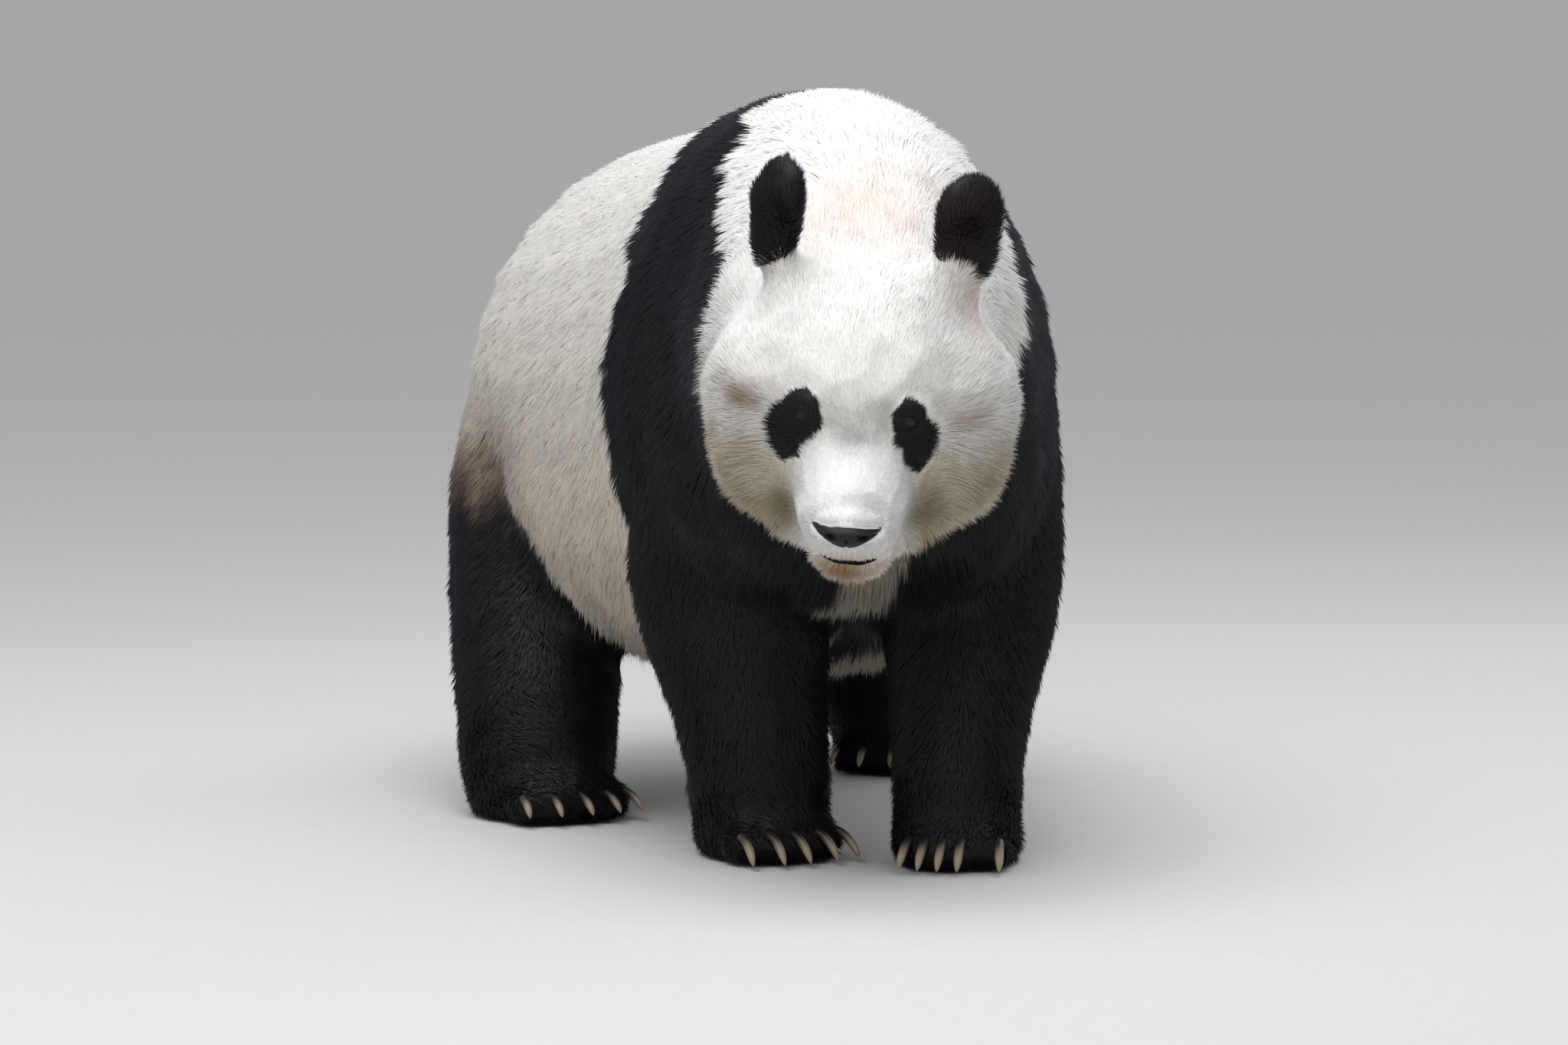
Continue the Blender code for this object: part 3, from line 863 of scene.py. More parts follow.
class Mouth:
    """The line of the mouth, in the face's own measures."""

    HALF_WIDTH = 0.027
    LEVEL = -0.1205
    SMILE = 0.0003  # how far its corners rise
    FRONT = 0.02  # the mouth is only ahead of this

    @classmethod
    def level(cls, across: np.ndarray) -> np.ndarray:
        """How high the line runs at a place across the face."""
        return cls.LEVEL + cls.SMILE * (across / cls.HALF_WIDTH) ** 2

    @classmethod
    def distance(cls, local: np.ndarray) -> np.ndarray:
        """How far points of the muzzle lie from the line, seen from ahead.

        Args:
            local: The points in the face's measures.

        Returns:
            The distance of each.
        """
        over = np.maximum(np.abs(local[:, 0]) - cls.HALF_WIDTH, 0)
        line = cls.level(np.clip(local[:, 0], -cls.HALF_WIDTH, cls.HALF_WIDTH))
        return np.hypot(local[:, 2] - line, over)

    @classmethod
    def near(cls, local: np.ndarray, width: float) -> np.ndarray:
        """One on the line, falling to a third at the width."""
        return np.exp(-((cls.distance(local) / width) ** 2)) * (local[:, 1] > cls.FRONT)


# ------------------------------------------------------------------ markings
def spot(points: np.ndarray, centre: np.ndarray, size: float | np.ndarray) -> np.ndarray:
    """One in the middle of a soft round or oval spot, falling to a third at its size."""
    return np.exp(-(((points - centre) / size) ** 2).sum(1))


@dataclass(frozen=True)
class StainOrShade:
    """A soft stain on the head, or a patch of painted shade in a hollow of it, placed and sized in the
    face's measures.
    """

    centre: tuple
    size: tuple
    strength: float
    colour: str

    def share(self, local: np.ndarray) -> np.ndarray:
        """How strongly it colours points of the face."""
        return self.strength * spot(local, np.array(self.centre), np.array(self.size))


# Stains of the head, and two patches of painted shade in the hollows beside the muzzle.
STAINS_AND_SHADES = (
    StainOrShade((-0.112, -0.03, -0.001), (0.024, 0.05, 0.013), 0.85, "#8F765A"),  # right temple
    StainOrShade((0.108, -0.03, -0.008), (0.020, 0.05, 0.010), 0.50, "#A08A6E"),  # left temple
    StainOrShade((-0.002, 0.02, -0.012), (0.020, 0.05, 0.010), 0.55, "#8D9094"),  # bridge of the nose
    StainOrShade((0.0, 0.06, -0.114), (0.035, 0.06, 0.007), 0.55, "#C9AE90"),  # upper lip
    StainOrShade((0.0, 0.05, -0.138), (0.050, 0.06, 0.014), 0.80, "#A9977A"),  # chin
    StainOrShade((-0.006, 0.06, -0.136), (0.020, 0.05, 0.010), 0.90, "#A0743A"),  # drool below the lips
    StainOrShade((0.064, 0.0, -0.094), (0.022, 0.05, 0.024), 0.75, "#6E6848"),  # painted shade in the hollow left of the muzzle
    StainOrShade((-0.064, 0.0, -0.094), (0.022, 0.05, 0.024), 0.90, "#6E6848"),  # painted shade in the hollow right of the muzzle
)


class Places:
    """Points of the coat, with what its markings are measured from."""

    def __init__(self, points: np.ndarray, shares: dict[Group, np.ndarray], marks: Landmarks,
                 jitter: float | np.ndarray = 0.0) -> None:
        """Measures the points.

        Args:
            points: The points.
            shares: How far each belongs to each group of solids.
            marks: The landmarks.
            jitter: How far a border strays at each point beside its waves, in metres.
        """
        self.points, self.shares, self.marks = points, shares, marks
        self.local = marks.to_face(points)
        self.out, self.height = np.abs(points[:, 0]), points[:, 2]
        self.behind = points[:, 1] - np.where(points[:, 0] > 0, marks.hips["left"], marks.hips["right"])
        self.head = np.clip(self.share(Group.HEAD, Group.EARS), 0, 1)
        # Borders wander in waves as wide as a lock and as a hand.
        self.stray = 0.0035 * waves(points, 0.028, 3) + 0.0055 * waves(points, 0.11, 4) + jitter

    def share(self, *groups: Group) -> np.ndarray:
        """How far each point belongs to any of the groups."""
        return sum(self.shares[group] for group in groups)

    def gate(self, *groups: Group, middle: float = 0.5) -> np.ndarray:
        """One where the share of the groups is over its middle, with a border that strays but stays near."""
        share = self.share(*groups) + np.clip(self.stray / 0.03, -0.28, 0.28)
        return ramp(share, middle - 0.12, middle + 0.12)


@dataclass(frozen=True)
class Markings:
    """Where the coat is black, white, stained or tinted; the same for skin and tufts."""

    # Height below the withers' top, and how far behind the withers each edge of the band runs.
    band_rear: tuple = ((0.000, 0.215), (0.059, 0.163), (0.127, 0.115), (0.209, 0.088), (0.303, 0.090),
                        (0.368, 0.075), (0.414, 0.045), (0.448, 0.030), (0.485, 0.034), (0.520, 0.075),
                        (0.560, 0.150))
    band_front: tuple = ((0.000, 0.125), (0.009, 0.104), (0.043, 0.010), (0.095, -0.065), (0.166, -0.181),
                         (0.225, -0.190), (0.285, -0.230), (0.330, -0.330), (0.380, -0.500))
    chest_middle: float = -0.006
    chest_half_width: float = 0.036
    chest_narrowing: float = 0.13
    # Distance out from the middle, and height to which the hind leg is black there.
    thigh: tuple = ((0.100, 0.150), (0.165, 0.196), (0.191, 0.222), (0.218, 0.268), (0.237, 0.312),
                    (0.254, 0.360))
    # The same along the leg, from its front edge backwards.
    haunch: tuple = ((0.000, 0.220), (0.020, 0.300), (0.075, 0.326), (0.117, 0.341), (0.175, 0.359),
                     (0.245, 0.354))
    # Outline of the patch round each eye, across and up from between the eyes.
    patch_right: tuple = ((-0.050, 0.028), (-0.038, 0.020), (-0.036, 0.006), (-0.041, -0.014),
                          (-0.051, -0.035), (-0.060, -0.050), (-0.070, -0.057), (-0.080, -0.050),
                          (-0.086, -0.030), (-0.087, -0.014), (-0.074, 0.004), (-0.063, 0.020))
    patch_left: tuple = ((0.045, 0.029), (0.037, 0.018), (0.032, 0.004), (0.036, -0.012), (0.045, -0.030),
                         (0.053, -0.048), (0.062, -0.056), (0.073, -0.046), (0.082, -0.024),
                         (0.083, -0.011), (0.069, 0.005), (0.058, 0.022))

    def band(self, at: Places) -> np.ndarray:
        """Black over the shoulders and down to the forelegs.

        Args:
            at: The points.

        Returns:
            The share of black at each.
        """
        below = at.marks.withers[2] - at.height
        along = at.points[:, 1] - at.marks.withers[1]
        rear = np.interp(below, *zip(*self.band_rear))
        front = np.interp(below, *zip(*self.band_front))
        inside = np.minimum(along - front, rear - along) + at.stray
        chest = self.chest_half_width - self.chest_narrowing * (below - 0.455)
        chest = chest - np.abs(at.points[:, 0] - self.chest_middle) + 0.6 * at.stray
        white_chest = ramp(chest, -0.004, 0.004) * ramp(below, 0.36, 0.42)
        return ramp(inside, -0.003, 0.003) * (1 - white_chest)

    def hind(self, at: Places) -> np.ndarray:
        """Black on the hind legs, fading out over the thigh.

        Args:
            at: The points.

        Returns:
            The share of black at each.
        """
        top = np.minimum(np.interp(at.out, *zip(*self.thigh)), np.interp(at.behind, *zip(*self.haunch)))
        soft = 0.010 + 0.055 * ramp(at.behind, 0.015, 0.14) * ramp(at.out, 0.18, 0.24)
        black = ramp(top - at.height + 1.5 * at.stray, -soft, soft)
        black *= ramp(at.behind + at.stray, -0.012, 0.012)
        low = at.gate(Group.HIND_LOWER, Group.HIND_PAW)
        low *= np.maximum(ramp(at.height + at.stray, 0.235, 0.195), ramp(at.behind, -0.045, -0.030))
        leg = at.gate(Group.HIND_UPPER, Group.HIND_LOWER, Group.HIND_PAW, middle=0.45)
        return np.maximum(low, black * np.maximum(leg, ramp(at.height, 0.25, 0.29)))

    @staticmethod
    def within(local: np.ndarray, outline: tuple) -> np.ndarray:
        """How far inside a rounded outline points of the face lie, in metres.

        Args:
            local: Points in the face's own measures.
            outline: A few points of the outline, across and up.

        Returns:
            The distance inside for each point, below nought outside.
        """
        corners = np.array(outline)
        middle = (corners.min(0) + corners.max(0)) / 2
        off = corners - middle
        angle, reach = np.arctan2(off[:, 1], off[:, 0]), np.linalg.norm(off, axis=1)
        off = local[:, (0, 2)] - middle
        turn = np.arctan2(off[:, 1], off[:, 0])
        return np.interp(turn, angle, reach, period=2 * math.pi) - np.linalg.norm(off, axis=1)

    def patches(self, at: Places) -> np.ndarray:
        """The slanted black patches round the eyes.

        Args:
            at: The points.

        Returns:
            The share of black at each.
        """
        inside = np.maximum(self.within(at.local, self.patch_left), self.within(at.local, self.patch_right))
        black = ramp(inside + 0.3 * at.stray, -0.0012, 0.0012) * (at.local[:, 1] > -0.06)
        return black * ramp(at.head, 0.3, 0.6)

    @staticmethod
    def tint(colour: np.ndarray, share: np.ndarray, code: str) -> np.ndarray:
        """Mixes a tint into the colours."""
        return colour + (linear(code) - colour) * share[:, None]

    def white(self, at: Places) -> np.ndarray:
        """The white coat: cream on the flanks, greyer below, stained on the head, with painted shade beside
        the muzzle, on the lower cheeks and on the chest.

        Args:
            at: The points.

        Returns:
            The colour at each.
        """
        across, ahead, up = np.abs(at.local[:, 0]), at.local[:, 1], at.local[:, 2]
        trunk = at.share(Group.TRUNK, Group.HIND_UPPER, Group.FORE_UPPER, Group.TAIL)
        mottle = 0.5 + 0.25 * waves(at.points, 0.05, 8)
        haunch = ramp(at.height, 0.50, 0.37) * ramp(at.behind, -0.06, 0.14) * ramp(at.out, 0.17, 0.23)
        low_cheek_shade = at.head * ramp(up, -0.015, -0.075) * ramp(across, 0.045, 0.075)
        muzzle = at.head * ramp(ahead, 0.005, 0.04) * ramp(up, -0.115, -0.1)
        chest = at.share(Group.TRUNK, Group.NECK) * ramp(at.height, 0.40, 0.34)
        low, high = at.marks.ears["left"]
        ear_root = np.array((high[0] - 0.005, low[1] + 0.02, low[2] - 0.02))
        tints = [
            (trunk * ramp(at.height, 0.62, 0.34) * 0.75, "#D9CFBB"),
            (trunk * ramp(at.height, 0.34, 0.18) * 0.7, "#AFA692"),
            (0.35 * trunk * np.clip(mottle, 0, 1), "#E9DED0"),
            (trunk * haunch * 0.65, "#8B7D6E"),
            # Painted shade: the lower cheeks beside the muzzle are darkened to olive, broken up by the
            # mottle.
            (np.clip(low_cheek_shade * (0.55 + 0.5 * mottle), 0, 0.85), "#B3A37F"),
            (muzzle * 0.4, "#EEF1F5"),
            *((at.head * stain_or_shade.share(at.local), stain_or_shade.colour) for stain_or_shade in STAINS_AND_SHADES),
            # Painted shade: the front of the chest below the chin, under the head and between the forelegs,
            # is darkened to grey.
            (chest * ramp(at.points[:, 1], -0.2, -0.3) * 0.85, "#8F8775"),
            (0.55 * spot(at.points, at.marks.from_face((-0.02, -0.24, 0.15)), 0.075), "#F3CFBA"),
            (0.7 * spot(at.points, ear_root, 0.032), "#DDB08C"),
        ]
        colour = np.tile(linear("#F4F1EB"), (len(trunk), 1))
        for share, code in tints:
            colour = self.tint(colour, share, code)
        return colour

    def colours(self, at: Places) -> tuple[np.ndarray, np.ndarray]:
        """The whole coat's colours.

        Args:
            at: The points.

        Returns:
            The share of black, and the colour, for each.
        """
        hind = self.hind(at)
        band = self.band(at) * ramp(at.head, 0.75, 0.45) * (1 - at.share(Group.TAIL))
        fore, ears = at.gate(Group.FORE_LOWER, Group.FORE_PAW), at.gate(Group.EARS)
        black = np.maximum.reduce((fore, band, ears, self.patches(at)))
        dark = np.tile(linear("#0E0E12"), (len(hind), 1))
        dark = self.tint(dark, at.share(Group.EARS) * (at.local[:, 0] > 0) * 0.6, "#2A1E1A")
        fade = self.tint(self.white(at), ramp(hind, 0.0, 0.5), "#7D6A5A")
        fade = self.tint(fade, ramp(hind, 0.35, 1.0), "#0F0E12")
        return np.maximum(black, hind), fade + (dark - fade) * black[:, None]


# ------------------------------------------------------------------ the coat
class Coat:
    """Tufts rooted in the skin, each a slim three-faced blade with a ridge, gathered in locks."""

    LOCK = 0.011  # how wide a lock is, body
    GATHER = 0.42  # how far the tips of a lock draw together
    ARCH = 0.04  # how far a tuft bows out, of its length
    MOST, FEWEST = 62_000, 40  # tufts in one piece
    SIDES_OF_TUFT = ((1, 0, 2), (0, 3, 2), (1, 2, 3))
    PATCH = 0.003  # of a tuft in the unwrap
    PATCH_SHAPE = ((-0.5, -0.35), (0.5, -0.35), (0.0, 0.0), (0.0, 0.5))
    FLOOR = 0.0008
    SEEN = 0.55  # where along a tuft its colour is read
    BARE_PAD = (0.98, 1.6, 0.92)  # of the nose pad's size
    BARE_LIP, BARE_EYE, BARE_SOLE = 0.0022, 0.0088, 0.004

    def __init__(self, skin: Skin, markings: Markings, share: float) -> None:
        """Places the roots.

        Args:
            skin: The finished skin.
            markings: The coat's colours.
            share: The share of all tufts that is made.
        """
        self.skin, self.marks, self.markings, self.share = skin, skin.marks, markings, share
        self.rng = np.random.default_rng(SEED)
        self.scatter()
        self.shape()
        self.paint()

    def scatter(self) -> None:
        """Roots spread evenly over the skin at the density of each zone."""
        skin = self.skin
        corners = skin.points[skin.triangles]
        cross = np.cross(corners[:, 1] - corners[:, 0], corners[:, 2] - corners[:, 0])
        area = np.linalg.norm(cross, axis=1) / 2
        density = skin.growth["density"][skin.triangles].mean(1) * self.share
        centre = corners.mean(1)
        local = self.marks.to_face(centre)
        bare = Nose.away(local, self.BARE_PAD) < 1
        bare |= (Mouth.distance(local) < self.BARE_LIP) & (local[:, 1] > Mouth.FRONT)
        bare |= skin.eye_distance(centre) < self.BARE_EYE
        level = skin.normals[skin.triangles].mean(1)[:, 2]
        bare |= (centre[:, 2] < self.BARE_SOLE) & (level < -0.8)
        wanted = np.cumsum(area * density * ~bare)
        offset = self.rng.uniform()
        picks = np.searchsorted(wanted, np.arange(offset, wanted[-1], 1.0))
        weights = self.rng.uniform(size=(len(picks), 2))
        over = weights.sum(1) > 1
        weights[over] = 1 - weights[over]
        self.weights = np.column_stack((1 - weights.sum(1), weights))
        self.corners = skin.triangles[picks]
        self.root = self.at(skin.points)
        self.normal = unit(self.at(skin.normals))
        self.flow = tangent(self.at(skin.flow), self.normal)
        self.owner = skin.owner[self.corners[:, 0]]

    def at(self, values: np.ndarray) -> np.ndarray:
        """Values of the skin's vertices read at the roots."""
        weights = self.weights if values.ndim == 1 else self.weights[..., None]
        return (values[self.corners] * weights).sum(1)

    def shape(self) -> None:
        """Length, lift and lean of every tuft, then the draw of its lock."""
        count, skin, rng = len(self.root), self.skin, self.rng
        length = self.at(skin.growth["length"]) * rng.uniform(0.72, 1.22, count)
        length *= 1 + 0.10 * waves(self.root, 0.06, 21)
        width = self.at(skin.growth["width"]) * rng.uniform(0.8, 1.25, count) / math.sqrt(self.share)
        lift = np.radians(self.at(skin.growth["lift"])) * rng.uniform(0.55, 1.5, count)
        close = ramp(skin.eye_distance(self.root), 0.010, 0.030)
        length, lift = length * (0.42 + 0.58 * close), lift * (0.5 + 0.5 * close)
        lip = Mouth.near(self.marks.to_face(self.root), 0.008)
        length *= 1 - 0.35 * lip
        turn = np.radians(9) * waves(self.root, 0.05, 22) + np.radians(8) * rng.normal(size=count)
        side = np.cross(self.normal, self.flow)
        lean = unit(self.flow * np.cos(turn)[:, None] + side * np.sin(turn)[:, None])
        side = np.cross(self.normal, lean)
        way = lean * np.cos(lift)[:, None] + self.normal * np.sin(lift)[:, None]
        tip = self.root + way * length[:, None]
        tip = self.gathered(tip, length)
        hang = ramp(self.normal[:, 2], -0.1, -0.8)
        tip[:, 2] -= 0.25 * hang * length
        tip[:, 2] = np.maximum(tip[:, 2], self.FLOOR + 0.0005 * rng.uniform(size=count))
        tip = np.clip(tip, np.array(CAD_LOW), np.array(CAD_HIGH))
        chord = tip - self.root
        bow = self.ARCH * length * rng.uniform(0.4, 1.4, count)
        middle = self.root + 0.46 * chord + self.normal * bow[:, None]
        middle[:, 2] = np.maximum(middle[:, 2], self.FLOOR)
        base = self.root - self.normal * (0.35 * width)[:, None] - lean * (0.04 * length)[:, None]
        half = side * (width / 2)[:, None]
        self.points = np.stack((base - half, base + half, middle, tip), 1)
        self.side, self.lean = side, lean

    def gathered(self, tip: np.ndarray, length: np.ndarray) -> np.ndarray:
        """Draws tips towards the middle of their lock's tips.

        Args:
            tip: Where the tips are.
            length: The lengths of the tufts.

        Returns:
            Where the tips come to lie.
        """
        size = np.clip(length / 0.028, 0.35, 1.1) * self.LOCK
        warp = np.stack([waves(self.root, 0.035, 30 + i) for i in range(3)], 1) * 0.3
        step = np.round(np.log2(size / self.LOCK) * 2) / 2
        cell = np.floor(self.root / (self.LOCK * 2 ** step)[:, None] + warp).astype(np.int64)
        cell = cell - cell.min(0)
        key = (cell[:, 0] * 8192 + cell[:, 1]) * 8192 + cell[:, 2]
        key = key * 64 + np.round(step * 2).astype(np.int64)
        _, lock = np.unique(key, return_inverse=True)
        number = np.bincount(lock)
        middle = np.stack([np.bincount(lock, tip[:, i]) / number for i in range(3)], 1)
        self.lock_tone = self.rng.normal(size=len(number))[lock]
        pull = self.GATHER * self.rng.uniform(0.5, 1.3, len(tip))
        draw = (middle[lock] - tip) * pull[:, None]
        far = np.linalg.norm(draw, axis=1)
        return tip + draw * np.minimum(1, 0.4 * length / np.maximum(far, 1e-9))[:, None]

    def paint(self) -> None:
        """Each tuft in the colour of its root, with painted shade where it starts."""
        shares = {g: self.at(s) for g, s in self.skin.shares.items()}
        jitter = self.rng.normal(size=len(self.root)) * 0.0020
        # A border is seen at the middles of the tufts, so the colour is read there.
        seen = self.root + self.SEEN * (self.points[:, 3] - self.root)
        self.black, colour = self.markings.colours(Places(seen, shares, self.marks, jitter))
        spread = 0.030 * self.rng.normal(size=len(self.root)) + 0.026 * self.lock_tone
        colour = colour * np.exp(spread * (1 + 1.7 * self.black))[:, None]
        # Painted shade: each tuft is darker at its root, where its neighbours shade it, and a little lighter
        # at its tip.
        root_shade = 0.94 - 0.24 * self.black
        shade = np.stack((root_shade, root_shade, np.full(len(seen), 0.97), np.full(len(seen), 1.04)), 1)
        self.colour = np.clip(colour[:, None, :] * shade[:, :, None], 0, 0.93)
        # White hairs scatter light among them, so they shade more evenly than black ones.
        turn = (0.20 + 0.38 * self.black)[:, None] * self.side
        ends = unit(self.normal + 0.3 * self.lean)
        self.shading = np.stack((unit(self.normal - turn), unit(self.normal + turn), self.normal, ends), 1)

    def unwrap(self, group: Group, rows: np.ndarray) -> np.ndarray:
        """The skin's own unwrap: round and along a trunk or leg, or round the head from its nose.

        Args:
            group: The solids that the tufts stand on.
            rows: Which tufts.

        Returns:
            A place between 0 and 1 each way for each tuft.
        """
        p = self.root[rows]
        if group in (Group.HEAD, Group.EARS):
            local = self.marks.to_face(p) - np.array((0.0, -0.11, 0.0))
            round_about = np.arctan2(local[:, 0], local[:, 2])
            along = np.arccos(np.clip(local[:, 1] / np.linalg.norm(local, axis=1), -1, 1))
        elif group in (Group.TRUNK, Group.NECK, Group.TAIL):
            middle = (p.min(0) + p.max(0)) / 2
            round_about = np.arctan2(p[:, 0] - middle[0], p[:, 2] - middle[2])
            along = p[:, 1]
        else:
            middle = np.array([np.interp(p[:, 2], *self.axis_of(p, i)) for i in (0, 1)]).T
            round_about = np.arctan2(p[:, 0] - middle[:, 0], p[:, 1] - middle[:, 1])
            along = p[:, 2]
        flat = np.column_stack((round_about, along))
        low, high = flat.min(0), flat.max(0)
        return 0.01 + 0.98 * (flat - low) / np.maximum(high - low, 1e-6)

    @staticmethod
    def axis_of(points: np.ndarray, axis: int) -> tuple[np.ndarray, np.ndarray]:
        """The middle line of a leg.

        Args:
            points: The roots on it.
            axis: 0 for its middle across, 1 for its middle front to back.

        Returns:
            Heights, and the middle at each.
        """
        heights = np.linspace(points[:, 2].min(), points[:, 2].max(), 7)
        edges = np.clip(np.digitize(points[:, 2], heights[1:-1]), 0, 5)
        ends = [(here.min() + here.max()) / 2 if len(here) else 0.0
                for here in (points[edges == k, axis] for k in range(6))]
        return (heights[1:] + heights[:-1]) / 2, np.array(ends)

    def pieces(self) -> list[tuple[str, bool, Group, np.ndarray]]:
        """Parts the tufts by colour and by what they cover, so that no piece has too many.

        Returns:
            For each piece its name, whether it is black, its group of solids and its tufts.
        """
        made = []
        right = self.root[:, 0] < 0
        for black in (False, True):
            for i, group in enumerate(Group):
                for name, side in (("left", ~right), ("right", right)):
                    rows = np.flatnonzero((self.owner == i) & ((self.black > 0.5) == black) & side)
                    if len(rows) < self.FEWEST:
                        continue
                    rows = rows[np.argsort(self.root[rows, 1])]
                    parts = max(1, math.ceil(len(rows) / self.MOST))
                    for k, share in enumerate(np.array_split(rows, parts)):
                        tail = f"_{k + 1}" if parts > 1 else ""
                        colour = "black" if black else "white"
                        made.append((f"{colour}_coat_{group.value}_{name}{tail}", black, group, share))
        return made

    def build(self, white: bpy.types.Material, black: bpy.types.Material) -> None:
        """Makes the pieces of the coat.

        Args:
            white: The material of white hair.
            black: The material of black hair.
        """
        for name, is_black, group, rows in self.pieces():
            start = 4 * np.arange(len(rows))[:, None]
            faces = np.concatenate([start + np.array(corners) for corners in self.SIDES_OF_TUFT], 1)
            faces = faces.reshape(-1, 3)
            obj = mesh_object(name, self.points[rows].reshape(-1, 3), faces)
            write_colour(obj.data, "coat_colour", self.colour[rows].reshape(-1, 3))
            spots = self.unwrap(group, rows)[:, None, :] + self.PATCH * np.array(self.PATCH_SHAPE)
            uv = obj.data.uv_layers.new(name="OFBake")
            uv.data.foreach_set("uv", spots.reshape(-1, 2)[faces.ravel()].astype(np.float32).ravel())
            obj.data.normals_split_custom_set_from_vertices(self.shading[rows].reshape(-1, 3).tolist())
            settled(obj, black if is_black else white, "black_fur" if is_black else "white_fur")
        log.info("coat: %d tufts", len(self.root))


# ------------------------------------------------------------------ eyes, nose, lips, claws
@dataclass
class Eye:
    """A small dark eye with a slit pupil, and the black lids that hold it."""

    name: str
    skin: Skin
    iris: float = math.radians(44)
    pupil: float = math.radians(9)
    opening: tuple = (math.radians(45), math.radians(31))
    lid_end: float = math.radians(80)
    inset: float = 0.0016  # how much deeper than the solid ball the eye is set, among the hair
    corner: float = 0.16  # how far the corners of the lids are drawn out
    # From the rim of a lid outwards, and how far it stands off the ball there.
    profile: tuple = ((-0.05, -0.0006), (0.0, 0.0004), (0.05, 0.0011), (0.14, 0.0014), (0.25, 0.0010),
                      (0.36, 0.0015), (0.55, 0.0014), (0.8, 0.0004), (1.0, -0.0012))
    rings: int = 40
    around: int = 48
    lid_around: int = 64

    def __post_init__(self) -> None:
        """Finds the ball's radius, its own axes (across, out along its sight, up) and its middle."""
        low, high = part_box(f"eye_{self.name}")
        self.radius = (high - low).x / 2
        marks, skin = self.skin.marks, self.skin
        near = np.argmin(np.linalg.norm(skin.points - marks.eyes[self.name], axis=1))
        out = unit(0.6 * skin.normals[near] + 0.8 * marks.face_axes[1])
        across = unit(np.cross(out, marks.face_axes[2]) * -1)
        across = across if across @ marks.face_axes[0] > 0 else -across
        self.axes = np.array((across, out, np.cross(out, across)))
        self.middle = marks.eyes[self.name] - out * self.inset

    def ball(self) -> bpy.types.Object:
        """The eyeball, ringed round its line of sight, with iris and pupil.

        Returns:
            The eyeball.
        """
        tilt = np.linspace(0.004, math.pi - 0.004, self.rings)
        a, b = np.meshgrid(tilt, circle(self.around), indexing="ij")
        bulge = self.radius * (1 + 0.05 * ramp(a, self.iris, 0.0))
        flat = np.stack((np.sin(a) * np.cos(b), np.cos(a), np.sin(a) * np.sin(b)), -1) * bulge[..., None]
        points, faces = tube(self.middle + flat @ self.axes)
        obj = mesh_object(f"eyeball_{self.name}", points, faces[:, ::-1])
        away, slit = a.ravel(), np.hypot(np.sin(a) * np.cos(b) * 2.6, np.sin(a) * np.sin(b)).ravel()
        colour = np.tile(linear("#0D0907"), (len(points), 1))
        streak = 0.75 + 0.35 * np.sin(b.ravel() * 23) * np.sin(b.ravel() * 11 + 1)
        inside = ramp(away, self.iris + 0.03, self.iris - 0.03)[:, None]
        colour += (linear("#1C110B") * streak[:, None] - colour) * inside
        colour *= 1 - 0.97 * ramp(slit, self.pupil * 2.4 + 0.04, self.pupil * 2.4 - 0.04)[:, None]
        write_colour(obj.data, "eye_colour", np.clip(colour, 0.0006, 1))
        return obj

    def lids(self) -> bpy.types.Object:
        """Upper and lower lid: a thick soft rim round an almond opening, with a fold above.

        Returns:
            The lids.
        """
        turn = circle(self.lid_around)
        wide, high = self.opening
        edge = np.hypot(np.cos(turn) * wide, np.sin(turn) * high)
        edge = edge * (1 + self.corner * np.abs(np.cos(turn)) ** 6)
        rows = []
        for t, rise in self.profile:
            tilt = edge + t * (self.lid_end - edge)
            fold = 0.0004 * np.clip(np.sin(turn), 0, 1) * (0.3 < t < 0.6)
            flat = np.stack((np.sin(tilt) * np.cos(turn), np.cos(tilt), np.sin(tilt) * np.sin(turn)), -1)
            rows.append(self.middle + (flat * (self.radius + rise + fold + 0.0003)[:, None]) @ self.axes)
        points, faces = tube(np.array(rows))
        return mesh_object(f"eyelids_{self.name}", points, faces[:, ::-1])

    def build(self, eye: bpy.types.Material, lid: bpy.types.Material) -> None:
        """Makes the ball and the lids."""
        settled(self.ball(), eye, "eye_dark", f"eye_{self.name}")
        settled(self.lids(), lid, "nose_skin")


